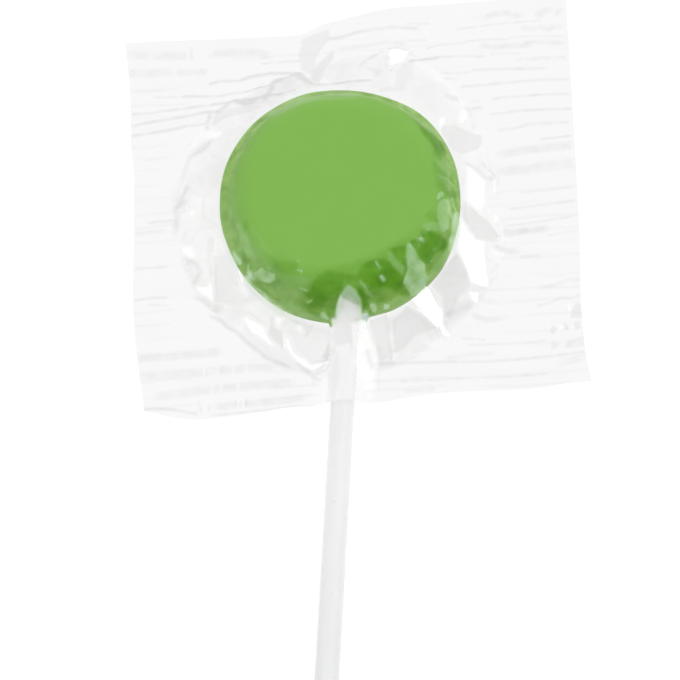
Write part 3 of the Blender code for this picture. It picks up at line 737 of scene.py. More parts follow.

# flat panels of the crumpled film that catch a lamp, and are also painted lighter
BRIGHT = (
    (0.8, (18.1, -2), (20.5, -4.9), (22, -4.8), (21.9, -8), (22.9, -11.2), (22.7, -12), (20.3, -11.4),
     (17.6, -7.1)),
    (0.8, (19.9, -12.7), (21.2, -12.7), (21.3, -14.3), (20.5, -13.9)),
    (1.0, (13.4, -12.2), (14.2, -13), (15.9, -15.8), (16.5, -18.2), (17.9, -19.9), (16.1, -20),
     (15.5, -18.8), (13.1, -17), (11.5, -15)),
    (0.16, (2.6, -19.4), (2.75, -21.1), (2.9, -23.1), (3.2, -25.2), (3.7, -27.3), (4.4, -29.2), (4.7, -31),
     (6.9, -31), (6.7, -27.4), (6.7, -26.1), (7, -24.9), (7, -24), (6.4, -22.2), (5.8, -21), (5.4, -19.6),
     (5.1, -18.4), (4.3, -18.4)),
    (0.8, (-26.2, -4.1), (-25.6, -4.2), (-25.7, -5)),
    (0.2, (-22.8, -1.4), (-21.3, -2.5), (-21.8, -3.8), (-22.9, -2.7)),
    (0.2, (18.6, 6.8), (21.7, 4.7), (21.9, 2.5), (21.2, -0.7), (19.9, 0.1), (18.6, 1.1)),
    (0.8, (22.6, 6.1), (23.3, 5.9), (23.5, 2.4), (22.8, 2.5)),
    (0.8, (23.1, 0.6), (23.7, -0.1), (23.6, -2.7), (22.9, -1.6)),
    (0.9, (5.7, 24.5), (6.1, 25.8), (7.4, 26.1), (9.3, 25.9), (9, 24.9), (8.5, 23.7), (7.6, 23.2),
     (6.8, 23), (6.7, 22), (6.3, 22), (6, 24.1)),
    (0.8, (2.9, 22.8), (3.7, 23.4), (4.2, 22.6)),
    (0.3, (16.9, 14.7), (17.3, 16.2), (17.7, 16.6), (18.7, 16.2), (18.4, 15.1), (17.9, 13.9), (17.1, 13.7)),
    (0.3, (14.1, 12.2), (14.1, 13.8), (14.8, 14.4), (15.3, 14), (14.9, 12.8), (14.5, 12)),
    (0.35, (18.7, 14.8), (19.2, 14.9), (19.4, 14.3), (18.9, 14.1)),
    (0.12, (-21, 11.1), (-18.3, 10.8), (-18.1, 10.1), (-18.5, 9.3), (-19.7, 9.3), (-21.1, 9.9)),
    (0.2, (-24.5, -7.5), (-21.6, -7.6), (-20.9, -8.6), (-21, -10.1), (-22.4, -9.5), (-23.4, -8.2)),
    (0.35, (-20.8, -13.8), (-19.1, -14.2), (-18.3, -12.6), (-17.7, -15.1), (-18.1, -16.4), (-19.9, -15.2)),
    (0.6, (-15, -11.7), (-13.9, -12), (-12.8, -16), (-14.2, -14.1)),
    (0.45, (-13.7, -18.7), (-12.7, -18.4), (-10.2, -19.9), (-9.6, -21.5), (-7.5, -23.8), (-9.3, -23.2),
     (-12.5, -20.4)),
    (0.2, (-8.7, -18.7), (-7.1, -19.1), (-7.8, -20.5), (-8.5, -19.7)),
    (0.45, (-7.3, -21.3), (-6.3, -21.3), (-5.3, -23.5), (-2.8, -25.4), (-0.4, -25), (-0.7, -26),
     (-2.7, -26.8), (-5.3, -25.2), (-7, -23.1)),
    (0.2, (-5.7, -20), (-4.6, -20), (-3.9, -21.2), (-4.6, -21.4), (-5.5, -20.6)),
    (0.9, (34.2, -13.5), (35, -13.3), (35.2, -14.7), (34.9, -14.8), (34.5, -14.3)),
    (0.9, (33.1, -16.8), (33.9, -16.6), (34.3, -17.2), (34, -17.5), (33.5, -17.7)),
    (0.8, (35, -16.5), (35.5, -16.7), (35.9, -17.3), (35.4, -17.5), (35, -16.9)),
    (0.7, (36.5, -15.6), (37, -15.6), (36.9, -16), (36.6, -15.9)),
)

# painted highlights: pale glints and films of light over the sweet: strength, then the outline
GLEAM = (
    (0.4, (10.5, -7.4), (10.8, -7.6), (11.5, -8.4), (12.3, -9.3), (13.1, -10.2), (13.2, -10.8),
     (13.6, -11.7), (13.9, -12.2), (13.1, -13.4), (12.2, -14.5), (11.4, -15), (11.1, -14.6), (10.5, -13.8),
     (10.1, -13.3), (10.3, -12.5), (10.6, -11.3), (10.4, -10), (10.2, -8.7), (10.3, -7.9)),
    (0.48, (11.9, -12.6), (13.9, -12.1), (13.1, -13.4), (12.2, -14.5), (11.4, -15), (11.1, -14.6),
     (10.8, -14)),
    (0.5, (14.5, 0.7), (15, 1.2), (15.5, 1), (15.5, 0.5), (14.9, 0), (14.5, -0.5), (14.4, 0.1)),
    (0.34, (14.6, -0.8), (15.4, 0.2), (16.1, 0), (16.2, -1), (16.4, -2.4), (16.5, -3.5), (16.4, -4.2),
     (15.4, -5.2), (14.9, -3.9), (14.5, -2.8), (14.5, -1.7)),
    (0.17, (12.5, -4.6), (13.7, -3.9), (15.2, -3.9), (15.4, -4.8), (14.1, -5.3), (12.8, -5.1)),
    (0.55, (17.2, -1.3), (17.9, -1.6), (18, -2.9), (17.9, -4.2), (17.6, -5.8), (17.1, -6.9), (16.7, -7.9),
     (16.4, -7.1), (16.6, -5.8), (16.8, -4.5), (16.8, -3.2)),
    (0.18, (17.1, -6.2), (17.5, -6.3), (16.7, -8.1), (15.6, -10), (14.6, -11.5), (13.9, -12.3),
     (13.6, -11.3), (14.3, -10.3), (15.3, -8.9), (16.2, -7.4)),
    (0.16, (7.5, -9.1), (8.3, -9.4), (9.1, -10.3), (10.1, -11.2), (10, -12.2), (9.4, -12), (8.6, -11.2),
     (7.8, -10.4)),
    (0.4, (5.7, -10.6), (6, -10.5), (6.6, -11.4), (6.7, -11.9), (6.3, -11.8), (5.9, -11.2)),
    (0.45, (6.5, -12.8), (6.9, -12.6), (7.5, -13.1), (7.4, -13.6), (7.1, -13.6), (6.7, -13.1)),
    (0.4, (11.9, -6.7), (12.4, -6.4), (12.9, -6.8), (13, -7.1), (12.6, -7.2), (12.1, -6.9)),
    (0.5, (5.3, -16.7), (6.1, -16.4), (6.4, -17.1), (6.3, -17.8), (5.7, -17.8), (5.3, -17.1)),
    (0.5, (7.3, -16.4), (8.1, -16.4), (8.3, -16.8), (7.8, -17.3), (7.4, -17.2)),
    (0.42, (4.5, -17.5), (5.2, -17.7), (5.4, -18.2), (4.7, -18.3), (4.4, -18)),
    (0.12, (5.7, -18.1), (7.2, -17.9), (9.1, -17), (10.3, -16.2), (11.3, -15.1), (10.8, -14.6),
     (9.6, -15.2), (8.4, -15.6), (7.9, -16.1), (6.4, -16.3), (5.3, -16.3)),
    (0.24, (-15.2, -5.4), (-14.5, -5.4), (-13.8, -6.6), (-13.2, -7.9), (-12.4, -9.5), (-11.8, -10.6),
     (-11.4, -11.4), (-12.3, -10.8), (-13.5, -9.6), (-14.3, -8.5), (-14.7, -7.1)),
    (0.5, (-15.7, -9.3), (-15.3, -9.3), (-14.7, -9.9), (-14, -11), (-13.9, -11.5), (-14.4, -11.5),
     (-15.1, -10.6)),
    (0.5, (-13.2, -11.4), (-12.9, -11.5), (-12.7, -12.4), (-12.2, -13), (-11.9, -13.7), (-11.5, -13.9),
     (-11.7, -14.3), (-12.3, -13.8), (-12.9, -13.1), (-13.2, -12.6)),
    (0.46, (-11.3, -12.2), (-11, -12.1), (-10.5, -12.6), (-9.7, -12.9), (-8.8, -13.2), (-8.9, -13.8),
     (-9.3, -14.3), (-10.2, -14), (-11.3, -13.8), (-11.9, -13.4), (-12.2, -12.7), (-11.7, -12.6)),
    (0.5, (-5.3, -12.7), (-4.8, -12.6), (-4.8, -13), (-5, -13.1), (-5.3, -12.9)),
    (0.12, (-6.9, -13.5), (-5.8, -13.4), (-4.5, -13.5), (-3.6, -13.9), (-4, -14.9), (-4.7, -14.9),
     (-5.7, -14.5), (-6.7, -14.5)),
    (0.5, (-13.4, -12.9), (-11.9, -14.3), (-11.6, -14.7), (-10.8, -15.2), (-9.5, -16.3), (-8.3, -17.2),
     (-7, -18.2), (-7.1, -18.4), (-8.4, -17.7), (-9.7, -16.7), (-11.2, -15.4), (-12.3, -14.6),
     (-13.5, -13.3)),
    (0.2, (-11.4, -14.7), (-9.5, -15.9), (-8.3, -16.6), (-6.9, -16.9), (-6, -17.5), (-6.8, -18.2),
     (-8.3, -17.2), (-10.4, -15.7)),
    (0.2, (-6.9, -18.4), (-4.5, -19), (-1.6, -19.5), (-0.6, -19.6), (-0.8, -19), (-2.1, -18.8),
     (-3.8, -18.4), (-5.3, -17.7), (-6.1, -17.4), (-6.8, -17.8)),
    (0.9, (4.1, -18.1), (5, -17.9), (5.4, -18.4), (4.9, -18.9), (4, -18.8)),
    (0.45, (-2, -18.4), (-1.3, -18.1), (-0.7, -19), (-0.1, -19.2), (-0.9, -19.3), (-1.8, -19)),
    (0.4, (-0.6, -19.3), (0.4, -19.3), (0.3, -20), (-0.2, -19.9)),
    (0.1, (13.9, 5.4), (14.5, 6.3), (15.4, 6.3), (16.3, 4.4), (17.5, 2.8), (16.4, 3.9), (14.6, 4.8)),
    (0.14, (14.2, 4), (14.7, 3.9), (16, 2.8), (16.7, 1.9), (16.1, 1.5), (15.2, 2.6), (14.4, 3.5)),
)

# painted highlights: thin bright lines over the sweet: strength, half width, then the places they run
# through
STREAKS = (
    (0.49, 0.13, (16.1, 0.2), (16.2, -0.7), (16.5, -2), (16.9, -2.7)),
    (0.55, 0.1, (16.7, 0.6), (16.9, -0.6), (17.5, -1.5)),
    (0.23, 0.13, (3.6, -13.8), (4.6, -14.7), (5, -15.3), (5.5, -15.7)),
    (0.28, 0.08, (13.9, -9.7), (14.3, -9.3)),
    (0.42, 0.11, (-11.2, -12), (-10.5, -12.6), (-9.7, -12.9), (-9, -13.1)),
    (0.42, 0.11, (-13, -12.5), (-12.4, -12.8), (-11.8, -13.7)),
    (0.42, 0.11, (-10.1, -12), (-9.8, -12.4)),
    (0.42, 0.1, (-5.8, -12.7), (-5.1, -12.6)),
    (0.28, 0.12, (-5.8, -11.2), (-5.3, -11.3)),
    (0.42, 0.11, (-5.2, -15.1), (-4, -15.5)),
    (0.31, 0.1, (-9.7, -15.1), (-9.5, -15.4), (-8.4, -15.6)),
    (0.42, 0.1, (-6.7, -15.6), (-6.6, -15.9)),
    (0.35, 0.1, (-4, -17), (-3.7, -17), (-3.3, -16.7)),
    (0.17, 0.18, (9.8, 13.5), (11.9, 11.4), (13.9, 10.6), (15.5, 8.6), (16.4, 6.6), (17.3, 2.3), (17.6, 0)),
    (0.28, 0.13, (14.4, 3.5), (15.5, 3.6), (16.9, 2.4), (17.5, 1.9)),
    (0.28, 0.2, (8.1, 15.3), (8.6, 14.2)),
)

# the mouth's arch as the film closes it
MOUTH = ((0.4, -18.9), (0.4, -18), (0.5, -17.3), (0.7, -16.5), (0.9, -15.9), (1.2, -15.5), (1.6, -14.9),
     (2, -14.5), (2.5, -14.7), (3.1, -15.1), (3.4, -15.6), (3.8, -16.1), (4, -16.6), (4.1, -17.5),
     (4.2, -18.3), (4.2, -22), (-0.1, -22), (0.2, -19.6))

# panels that are turned to the dark, with painted shade that tints the film darker there
DARK = (
    (0.95, (18.2, 0.8), (20.5, -0.6), (22.7, -2), (24, -3.9), (23.3, -4.8), (20.7, -4.9), (19.1, -2.8),
     (18.4, -1.7)),
    (0.85, (14.5, 12.4), (16.5, 13.2), (20.5, 12.6), (20.8, 11.5), (20.1, 10.1), (18, 8.6), (16.5, 8.8),
     (14.8, 11)),
    (1, (17.8, -7.6), (19.5, -10.5), (19.8, -12), (18.4, -14), (16.7, -16.9), (15.8, -14.1), (14.4, -12.7)),
    (1, (8.6, -18.6), (10.8, -16.4), (13.1, -17), (15.5, -18.8), (12.5, -20), (11, -21.6), (9.3, -22.6)),
    (0.75, (5.5, -18.9), (8, -17.9), (8.5, -21.9), (8.8, -23.3), (7.1, -24.5), (6.7, -22.1)),
    (0.4, (-18.4, -10), (-16, -9.8), (-13.3, -15.5), (-13.6, -16.7), (-17.8, -16.4)),
    (0.95, (-9.1, -18.9), (-8.6, -20.5), (-7.5, -21), (-6.9, -23.6), (-9.4, -21.3)),
    (0.7, (-7.1, -19.1), (-2.7, -20.1), (-3.7, -21.8), (-5.5, -19.8)),
    (0.7, (-7.2, 27.1), (-3.3, 28.7), (-3, 27.3), (-4.8, 24.2), (-5.5, 20.9), (-7.1, 21.9), (-7.6, 24.2)),
    (0.85, (-2.5, 25.4), (-2.2, 24.1), (-3.4, 22.3), (-4.3, 18.8), (-5.5, 19.4), (-5.4, 21.8), (-3.9, 23.7)),
    (0.45, (-10.1, 19.1), (-8.6, 20.2), (-6.9, 18), (-10, 17.6)),
    (0.7, (-19.5, 14.3), (-15.1, 14.8), (-13.2, 15.5), (-12.3, 15.1), (-14, 13.6), (-17.9, 12.9),
     (-20, 11.6)),
    (0.62, (8.2, 23.3), (9.9, 24.1), (9.9, 20.4), (8.9, 19.7), (9, 18.1), (5.1, 17), (5, 17.9),
     (7.2, 18.5), (7.3, 21.6)),
    (0.3, (13.5, 20), (14.5, 20.4), (15.6, 20), (15.8, 19.2), (15.1, 18.5), (14.2, 18.7), (13.6, 18.6)),
    (0.55, (14.9, 18.7), (15.8, 19), (17, 18.6), (17.2, 17.4), (16.8, 17.8), (15.6, 17.7), (14.9, 18)),
    (0.7, (-20.2, 9.3), (-19.6, 8.9), (-20.6, 7.8), (-21.4, 7.1), (-22.6, 6.7), (-22.2, 7.5), (-21.3, 8.6)),
    (0.5, (2.3, 22.2), (5.1, 21.7), (5.1, 20.5), (4.1, 20.1), (3.8, 21)),
    (0.4, (-23.8, -0.4), (-23, 1.8), (-21.7, 2.1), (-22, 0.3), (-23.5, -1.2)),
    (0.4, (-20.7, -0.4), (-18.9, -0.2), (-18.2, -5.7), (-20.4, -5.4)),
)

# painted shade of small dark folds beside the stick and near the right edge: how dark, and their outlines
FLECKS = (
    (0.35, (5, -22.8), (5.6, -23.2), (5.9, -24.1), (6.5, -25.2), (6.2, -25.9), (5.7, -25.7), (5.3, -24.5)),
    (0.75, (34.1, -16.7), (34.5, -16.2), (35, -17.2), (34.8, -17.7), (34.3, -17)),
    (0.75, (32.1, -18), (32.5, -16.9), (33.2, -17.3), (32.8, -18.3)),
    (0.7, (35.5, -14), (36, -13), (36.7, -13.4), (37.1, -15.3), (35.4, -15.6), (35.1, -15.2)),
    (0.65, (35.8, -15.9), (36.6, -16), (36.7, -16.8), (36.2, -17.3), (35.7, -16.7)),
    (0.65, (34.4, -20.3), (34.8, -19.2), (36, -18.9), (36.1, -19.3), (35.5, -20.1)),
    (0.45, (36.1, -18.5), (37.3, -18.2), (37.5, -19.8), (35.9, -20)),
    (0.6, (32.5, -19.4), (33.6, -19.5), (33.5, -20.1), (32.5, -20.6)),
)

# how far in x and y a light panel's slope may be from the one that mirrors a lamp
SPARE = (0.04, 0.05)

# painted shade: how much darker the pocket is painted by direction: degrees, half width, and by how much
POCKET_SHADE = ((30, 30, -0.15), (90, 28, -0.1), (122, 32, 0.3), (195, 40, -0.13), (240, 30, 0.12), (322, 42, 0.15))

# the film lies tight on the face inside this radius, and clear by these gaps, in millimetres
TIGHT_R, FACE_GAP, SWEET_GAP, STICK_GAP = 14.5, 0.12, 0.08, 0.07
# outside the sweet nothing lies under the film
NOTHING = -9
# the pocket's height where the film leaves the face, and how it bends down to the seal
POCKET_TOP, POCKET_BEND = 5.64, 1.08
# the tunnel over the stick: its height, half the width of its flat top, and how steeply it falls
TENT_TOP, TENT_FLAT, TENT_FALL = 2.05, 0.9, 0.52
# crimp lines of the margins: how many, how far apart, and where the lowest one is
CRIMPS, CRIMP_STEP, CRIMP_LOW = 28, 2.2, -30.0
# columns and rows of both sheets, and the left end and the width that the columns are shared out over
FRONT_GRID, BACK_GRID = (270, 360), (190, 250)
GRID_LEFT, GRID_WIDTH = -31, 67


def view_axes():
    """The camera's right, up and backward directions."""
    azimuth, elevation = VIEW_AZIMUTH, VIEW_ELEVATION
    away = Vector((math.sin(azimuth) * math.cos(elevation), -math.cos(azimuth) * math.cos(elevation),
                   math.sin(elevation)))
    right = Vector((math.cos(azimuth), math.sin(azimuth), 0))
    return right, away.cross(right), away


def camera_place():
    """Where the camera stands, in millimetres."""
    _, up, away = view_axes()
    return Vector((0, 0, MID_Z)) - up * VIEW_LOW + away * (VIEW_WIDTH * LENS / SENSOR)


def mirror_slopes(x, y, way):
    """The rise towards +X and +Y of film that mirrors the lamp on that way to the camera."""
    half = 0.0
    for place in (Vector(way).normalized() * LAMP_FAR + Vector((0, 0, MID_Z)), camera_place()):
        ray = np.stack([place.x - x, place.y - y, place.z - MID_Z + 0 * x])
        half = half + ray / np.sqrt((ray**2).sum(axis=0))
    return -half[0] / half[2], -half[1] / half[2]


def slopes(x, y, height):
    """Rise of the film towards +X and +Y at each place of its grid."""
    (ya, xa), (yb, xb), (zb, za) = ((np.gradient(y, axis=1), np.gradient(x, axis=1)),
                                    (np.gradient(y, axis=0), np.gradient(x, axis=0)),
                                    np.gradient(height))
    area = xa * yb - xb * ya
    return (za * yb - zb * ya) / area, (zb * xa - za * xb) / area


class Sheet:
    """One film sheet as arrays over its grid: its places, its height off the middle level, and its looks.

    side is 1 for the shown sheet and -1 for the one behind."""

    def __init__(self, side, across, along):
        self.side, self.seed = side, 20 if side > 0 else 60
        u, v = sheet_place(across, along)
        x = u * math.cos(FILM_TURN) - v * math.sin(FILM_TURN)
        y = u * math.sin(FILM_TURN) + v * math.cos(FILM_TURN)
        self.u, self.v, self.x, self.y = u, v, x, y
        self.r, self.angle = np.hypot(x, y), np.arctan2(y, x)
        # the radius as a share of the sweet's own, which isn't quite round
        self.near = self.r / swell(self.angle)
        self.aside = np.abs(x - STICK_X)
        ragged = 0.7 * facet_noise(x, y, 3.4, self.seed + 9) * ease((self.aside - 3) / 3)
        self.edge = pocket_edge(self.angle) + ragged
        self.margin = ease((self.r - self.edge + 1.5) / 3)


def add_margins(sheet):
    """Both films sealed, a little wavy, with fine crimp lines drawn in painted shade."""
    u, v = sheet.u, sheet.v
    clear_of_stick = np.where(sheet.y < 0, ease((sheet.aside - 2.2) / 2.0), 1.0)
    middle = 1.1 * ease((np.hypot(u, v) - 25) / 16) * np.sin(3.1 * np.arctan2(v, u) + 0.6)
    crease = np.zeros_like(u)
    lines = np.random.default_rng(31)
    for k in range(CRIMPS):
        centre = CRIMP_LOW + CRIMP_STEP * k + lines.uniform(-0.35, 0.35)
        for start, end in ((-34, -22), (20, 40), (-16, 16)):
            a = lines.uniform(start - 2, start + 5)
            b = lines.uniform(end - 5, end + 2)
            tilt = lines.uniform(-0.012, 0.018)
            dark = lines.uniform(0.0, 0.13) * (0.35 if start > 0 and centre > 4 else 1)
            mask = ease((u - a) / 3) * ease((b - u) / 3) * sheet.margin * clear_of_stick
            away = (v - centre - tilt * (u - a) - 0.08 * np.sin(u * 0.7 + k)) / 0.3
            middle -= 0.025 * mask * np.clip(1 - np.abs(away), 0, 1)
            crease += dark * mask * np.exp(-(away**2) * 1.6)
    sheet.middle, sheet.crease = middle, crease
    sheet.tone = 0.03 * smooth_noise(sheet.x * 0.4, sheet.y * 1.6, 4.0, 77) * sheet.margin


def add_pocket(sheet):
    """Tight over the sweet's face, then in straight folds down to the seal."""
    x, y, near, seed = sheet.x, sheet.y, sheet.near, sheet.seed
    inward = sheet.edge - sheet.r
    q = np.clip((near - TIGHT_R) / (sheet.edge - TIGHT_R), 0, 1)
    height = np.where(near < TIGHT_R, sweet_top(near) + FACE_GAP, POCKET_TOP * (1 - q) ** POCKET_BEND)
    height += 0.4 * facet_noise(x, y, 5.5, seed + 1) * ease((near - 14.2) / 3) * ease((inward + 0.5) / 3)
    height += 0.12 * facet_noise(x, y, 2.6, seed + 2) * ease((near - 13.5) / 2.5) * ease((inward + 1) / 3)
    sheet.height = np.maximum(height, 0.03)
    bag = ease((near - 17.0) / 1.2) * ease((inward + 0.4) / 0.8)
    # painted shade over the pocket: darker low down, near the sweet, by direction, and in flat patches
    pocket_shade = 0.15 + 0.12 * ease(-y / 20) + 0.10 * ease((20.5 - near) / 2)
    for degrees, wide, more in POCKET_SHADE:
        gap = np.abs((np.degrees(sheet.angle) - degrees + 180) % 360 - 180)
        pocket_shade += more * ease(1 - gap / wide)
    pocket_shade += 0.22 * facet_noise(x, y, 4.6, seed + 4, flat=True)
    pocket_shade += 0.12 * facet_noise(x, y, 2.3, seed + 5)
    sheet.tone -= bag * pocket_shade


def below_mouth(x, y):
    """From 0 over the slanting line where the film closes on the mouth to 1 under it."""
    return ease((-y - 15.3 - 0.35 * x) / 0.8)


def add_tunnel(sheet):
    """The tunnel over the stick, down to the sheet's lower edge, and the milky film over mouth and stick,
    which over the mouth paints light into its shaded hollow.
    """
    x, y = sheet.x, sheet.y
    off = np.abs(x - STICK_X + 0.2 * smooth_noise(y, y * 0, 7, 8))
    sheet.off = off
    tent = TENT_TOP - np.clip(off - TENT_FLAT, 0, 9) * TENT_FALL
    tunnel = tent * ease((-y - 13) / 5)
    facets = 0.12 * facet_noise(x, y, 2.4, sheet.seed + 3)
    tunnel += facets * ease((tent - 0.1) / 0.4) * ease((off - 1.9) / 0.8)
    sheet.height = np.maximum(sheet.height, np.where(y < -12, tunnel, -1))
    # painted light: milky white over the mouth's shaded hollow
    arch = ease(inside_panel(x, y, MOUTH) / 0.5 + 0.5) * below_mouth(x, y) * ease((y + 21) / 1.5)
    beyond = np.where(x > STICK_X, x - STICK_X + 0.1, STICK_X - x - 0.25)
    strip = ease((-y - 18.6) / 0.8) * ease((2.1 - beyond) / 0.4)
    sheet.haze = (0.63 + 0.25 * ease((-y - 17.4) / 3)) * np.maximum(arch, strip) * (sheet.side > 0)
    sheet.tone *= 1 - 0.8 * ease((-y - 14) / 2) * ease((2.6 - off) / 0.6)
    # painted shade: a dark line left of the stick, which fades lower down
    line = bump((x + 0.25) / 0.8) * ease(-y - 19.5)
    sheet.tone -= 0.35 * line * (0.1 + 0.9 * ease((y + 26) / 2.5))


def add_gleams(sheet):
    """Painted highlights: glints over the sweet and facets round its rim; and painted shade along the rim's
    groove.
    """
    x, y, near = sheet.x, sheet.y, sheet.near
    facet = ease(facet_noise(x, y, 2.0, sheet.seed + 7, flat=True) * 1.4)
    gleam = 0.12 * bump((near - 16.9) / 1.5) * facet * ease((y + 6) / 4)
    lower_left = ease((-x - 3) / 3) * ease((4 - y) / 12)
    gleam += 0.12 * ease((near - 14.2) / 1.5) * ease((18.4 - near) / 0.5) * lower_left
    sheet.gleam = gleam
    if sheet.side < 0:
        return
    grain = smooth_noise(x, y, 1.2, 35)
    for strength, *corners in GLEAM:
        depth = inside_panel(x, y, corners) + 0.05 * grain
        gleam = np.maximum(gleam, strength * (0.92 + 0.14 * grain) * ease(depth / 0.26 + 0.5))
    for strength, wide, *places in STREAKS:
        away, share = along_line(x, y, places)
        line = np.exp(-((away / (1.3 * wide)) ** 2)) * ease(share / 0.1 + 0.3)
        gleam = np.maximum(gleam, strength * line)
    # painted light on the mouth's border, and on all of it above the line where the film closes
    depth = inside_panel(x, y, MOUTH)
    above = 1 - below_mouth(x, y)
    border = ease(depth / 0.4 + 0.7) * np.maximum(1 - ease((depth - 0.3) / 0.4), above)
    sheet.gleam = np.maximum(gleam, (0.38 + 0.08 * above) * border * ease((y + 19.4) / 0.8))
    # painted shade in a line along the groove round the rim, fading out to the right and broken in places
    seam = np.exp(-(((near - 16.3) / 0.3) ** 2)) * ease((9 - x) / 4)
    sheet.tone -= 0.45 * seam * ease(1.0 + 2.0 * smooth_noise(x, y, 2.4, 36))


def find_floor(sheet):
    """How high the sweet and the stick reach under each place of the film."""
    sweet = np.where(sheet.near < SWEET_R + 0.1, sweet_top(sheet.near) + SWEET_GAP, NOTHING)
    stick = np.sqrt(np.clip((STICK_R + STICK_GAP) ** 2 - (sheet.x - STICK_X) ** 2, 0, None))
    sheet.over_stick = np.where((sheet.y < -16) & (sheet.aside < STICK_R), stick, NOTHING)
    sheet.floor = np.maximum(np.maximum(sweet, 0.04), sheet.over_stick)


def turn_panels(sheet):
    """Turn panels of the shown film to the dark with painted shade, or so that they mirror a lamp with
    painted light, and paint the shade of small dark folds.
    """
    x, y, base = sheet.x, sheet.y, sheet.height
    height, tone = base, sheet.tone
    lit, calm = np.zeros_like(x), np.zeros_like(x)

    def middle_of(corners):
        return (sum(corner[i] for corner in corners) / len(corners) for i in (0, 1))

    def fitted(inner, cx, cy):
        """The plane that fits the film there: its slopes and its height at (cx, cy)."""
        places = np.stack([x[inner] - cx, y[inner] - cy, np.ones(inner.sum())], axis=-1)
        return np.linalg.lstsq(places, base[inner], rcond=None)[0]

    for shade, *corners in DARK:
        depth = inside_panel(x, y, corners) + 0.12 * facet_noise(x, y, 1.6, 71)
        blend = ease(depth / 0.5 + 0.5)
        cx, cy = middle_of(corners)
        gx, gy, level = fitted(depth > 0, cx, cy)
        if cy < 8:
            gx, gy = 0.45 * gx, gy + 0.12
        plane = level + gx * (x - cx) + gy * (y - cy)
        height = height * (1 - blend) + plane * blend
        # painted shade: the film is tinted darker over the panel
        tone = tone * (1 - blend) - blend * (shade + 0.12 * facet_noise(x, y, 3.0, 72))
    for strength, *corners in BRIGHT:
        depth = inside_panel(x, y, corners)
        blend = ease(depth / 0.3 + 0.5)
        cx, cy = middle_of(corners)
        # the fitted plane is turned so far that it mirrors the nearer lamp
        gx, gy, level = fitted(depth > 0, cx, cy)
        lx, ly = mirror_slopes(cx, cy, RIGHT_WAY if cx > -1 else LEFT_WAY)
        gx = lx + np.clip(gx - lx, -SPARE[0], SPARE[0])
        gy = ly + np.clip(gy - ly, -SPARE[1], SPARE[1])
        plane = level + gx * (x - cx) + gy * (y - cy)
        # it is raised where it would dip under what the film lies on
        plane += np.clip(np.percentile((sheet.floor - plane)[depth > 0], 85), 0, 0.6)
        height = height * (1 - blend) + plane * blend
        # painted light: the panel's film is made clearer, more so away from the sweet
        light = strength * (0.35 + 0.65 * ease((sheet.near - 17.8) / 0.8))
        lighter = np.maximum(tone, light * blend + np.minimum(tone, 0) * (1 - blend))
        tone = np.where(depth > -0.15, lighter, tone)
        calm = np.where(blend > lit, 1 - strength, calm)
        lit = np.maximum(lit, blend)
    for shade, *corners in FLECKS:
        blend = ease(inside_panel(x, y, corners) / 0.2 + 0.5)
        # painted shade of the folds
        tone = tone * (1 - blend) - shade * blend
        lit *= 1 - blend
    sheet.height, sheet.tone, sheet.lit, sheet.calm = height, tone, lit, calm


def add_creases(sheet):
    """Creases of the shown film, which stand up a little, with painted shade along them, and light nicks
    across the crimped bands, where that painted shade is taken out.
    """
    x, y = sheet.x, sheet.y
    off_stick = np.where(y < 0, ease((sheet.aside - 2) / 0.6), 1.0)
    rise = 0.22 * (1 - sheet.margin) + 0.05
    ragged = 1 + 0.25 * smooth_noise(x, y, 1.4, 91)
    for dark, wide, *points in CREASES:
        away, share = along_line(x, y, points)
        reach = sum(math.dist(a, b) for a, b in zip(points, points[1:]))
        taper = ease(share * reach / 0.7 + 0.5) * ease((1 - share) * reach / 0.7 + 0.5)
        sheet.height = sheet.height + rise * taper * np.clip(1 - away / (wide + 0.6), 0, 1) * (1 - sheet.lit)
        power = 4 if wide > 0.38 else 2
        sheet.crease += dark * taper * ragged * np.exp(-((away / (1.2 * wide)) ** power)) * off_stick
    for places in NICKS:
        away, _ = along_line(x, y, places)
        sheet.crease *= 1 - 0.85 * np.exp(-((away / 0.22) ** 2))


def soften_beside_stick(sheet):
    """Soft bends where panels meet the tunnel over the stick."""
    soft = ease((3.4 - sheet.aside) / 0.6) * ease((sheet.aside - 0.9) / 0.4) * ease(-sheet.y - 19)
    height, passes = sheet.height, 4
    for _ in range(passes):
        even = (height[:, :-2] + 2 * height[:, 1:-1] + height[:, 2:]) / 4
        height[:, 1:-1] += (even - height[:, 1:-1]) * soft[:, 1:-1]


def add_bends(sheet):
    """Sharp bends of the pocket get painted shade as faint lines, and over the sweet the creases' painted
    shade tints the film deeper green.
    """
    height, near = sheet.height, sheet.near
    bend = np.zeros_like(height)
    inner, back, on = slice(2, -2), slice(None, -4), slice(4, None)
    bend[inner, inner] = np.abs(height[on, inner] + height[back, inner] + height[inner, on]
                                + height[inner, back] - 4 * height[inner, inner])
    off_tunnel = ease((sheet.off - 1.7) / 0.6)
    broken = ease(smooth_noise(sheet.x, sheet.y, 3.0, sheet.seed + 6) + 0.2) * (1 - 0.6 * sheet.lit)
    sheet.crease += np.clip(bend * 1.2 - 0.15, 0, 0.22) * broken * ease((near - 13) / 2) * off_tunnel
    over = ease((18.3 - near) / 0.5) * off_tunnel
    sheet.tone -= 0.9 * sheet.crease * over
    sheet.crease *= 1 - 0.85 * over


def place_sheet(sheet):
    """The sheet's final level, never into the stick, and how free of glints it is kept."""
    x, y = sheet.x, sheet.y
    off_middle = sheet.side * sheet.middle * ease((sheet.r - 20) / 5) + sheet.height
    sheet.z = MID_Z + sheet.side * np.maximum(off_middle, sheet.over_stick)
    gx, gy = slopes(x, y, sheet.z)
    still = np.zeros_like(x)
    for way in (RIGHT_WAY, LEFT_WAY):
        lx, ly = mirror_slopes(x, y, way)
        still = np.maximum(still, np.exp(-(((gx - lx) / 0.16) ** 2) - (((gy - ly) / 0.18) ** 2)))
    sheet.still = np.clip(1.3 * still, 0, 1) * (1 - sheet.lit) + sheet.calm * sheet.lit


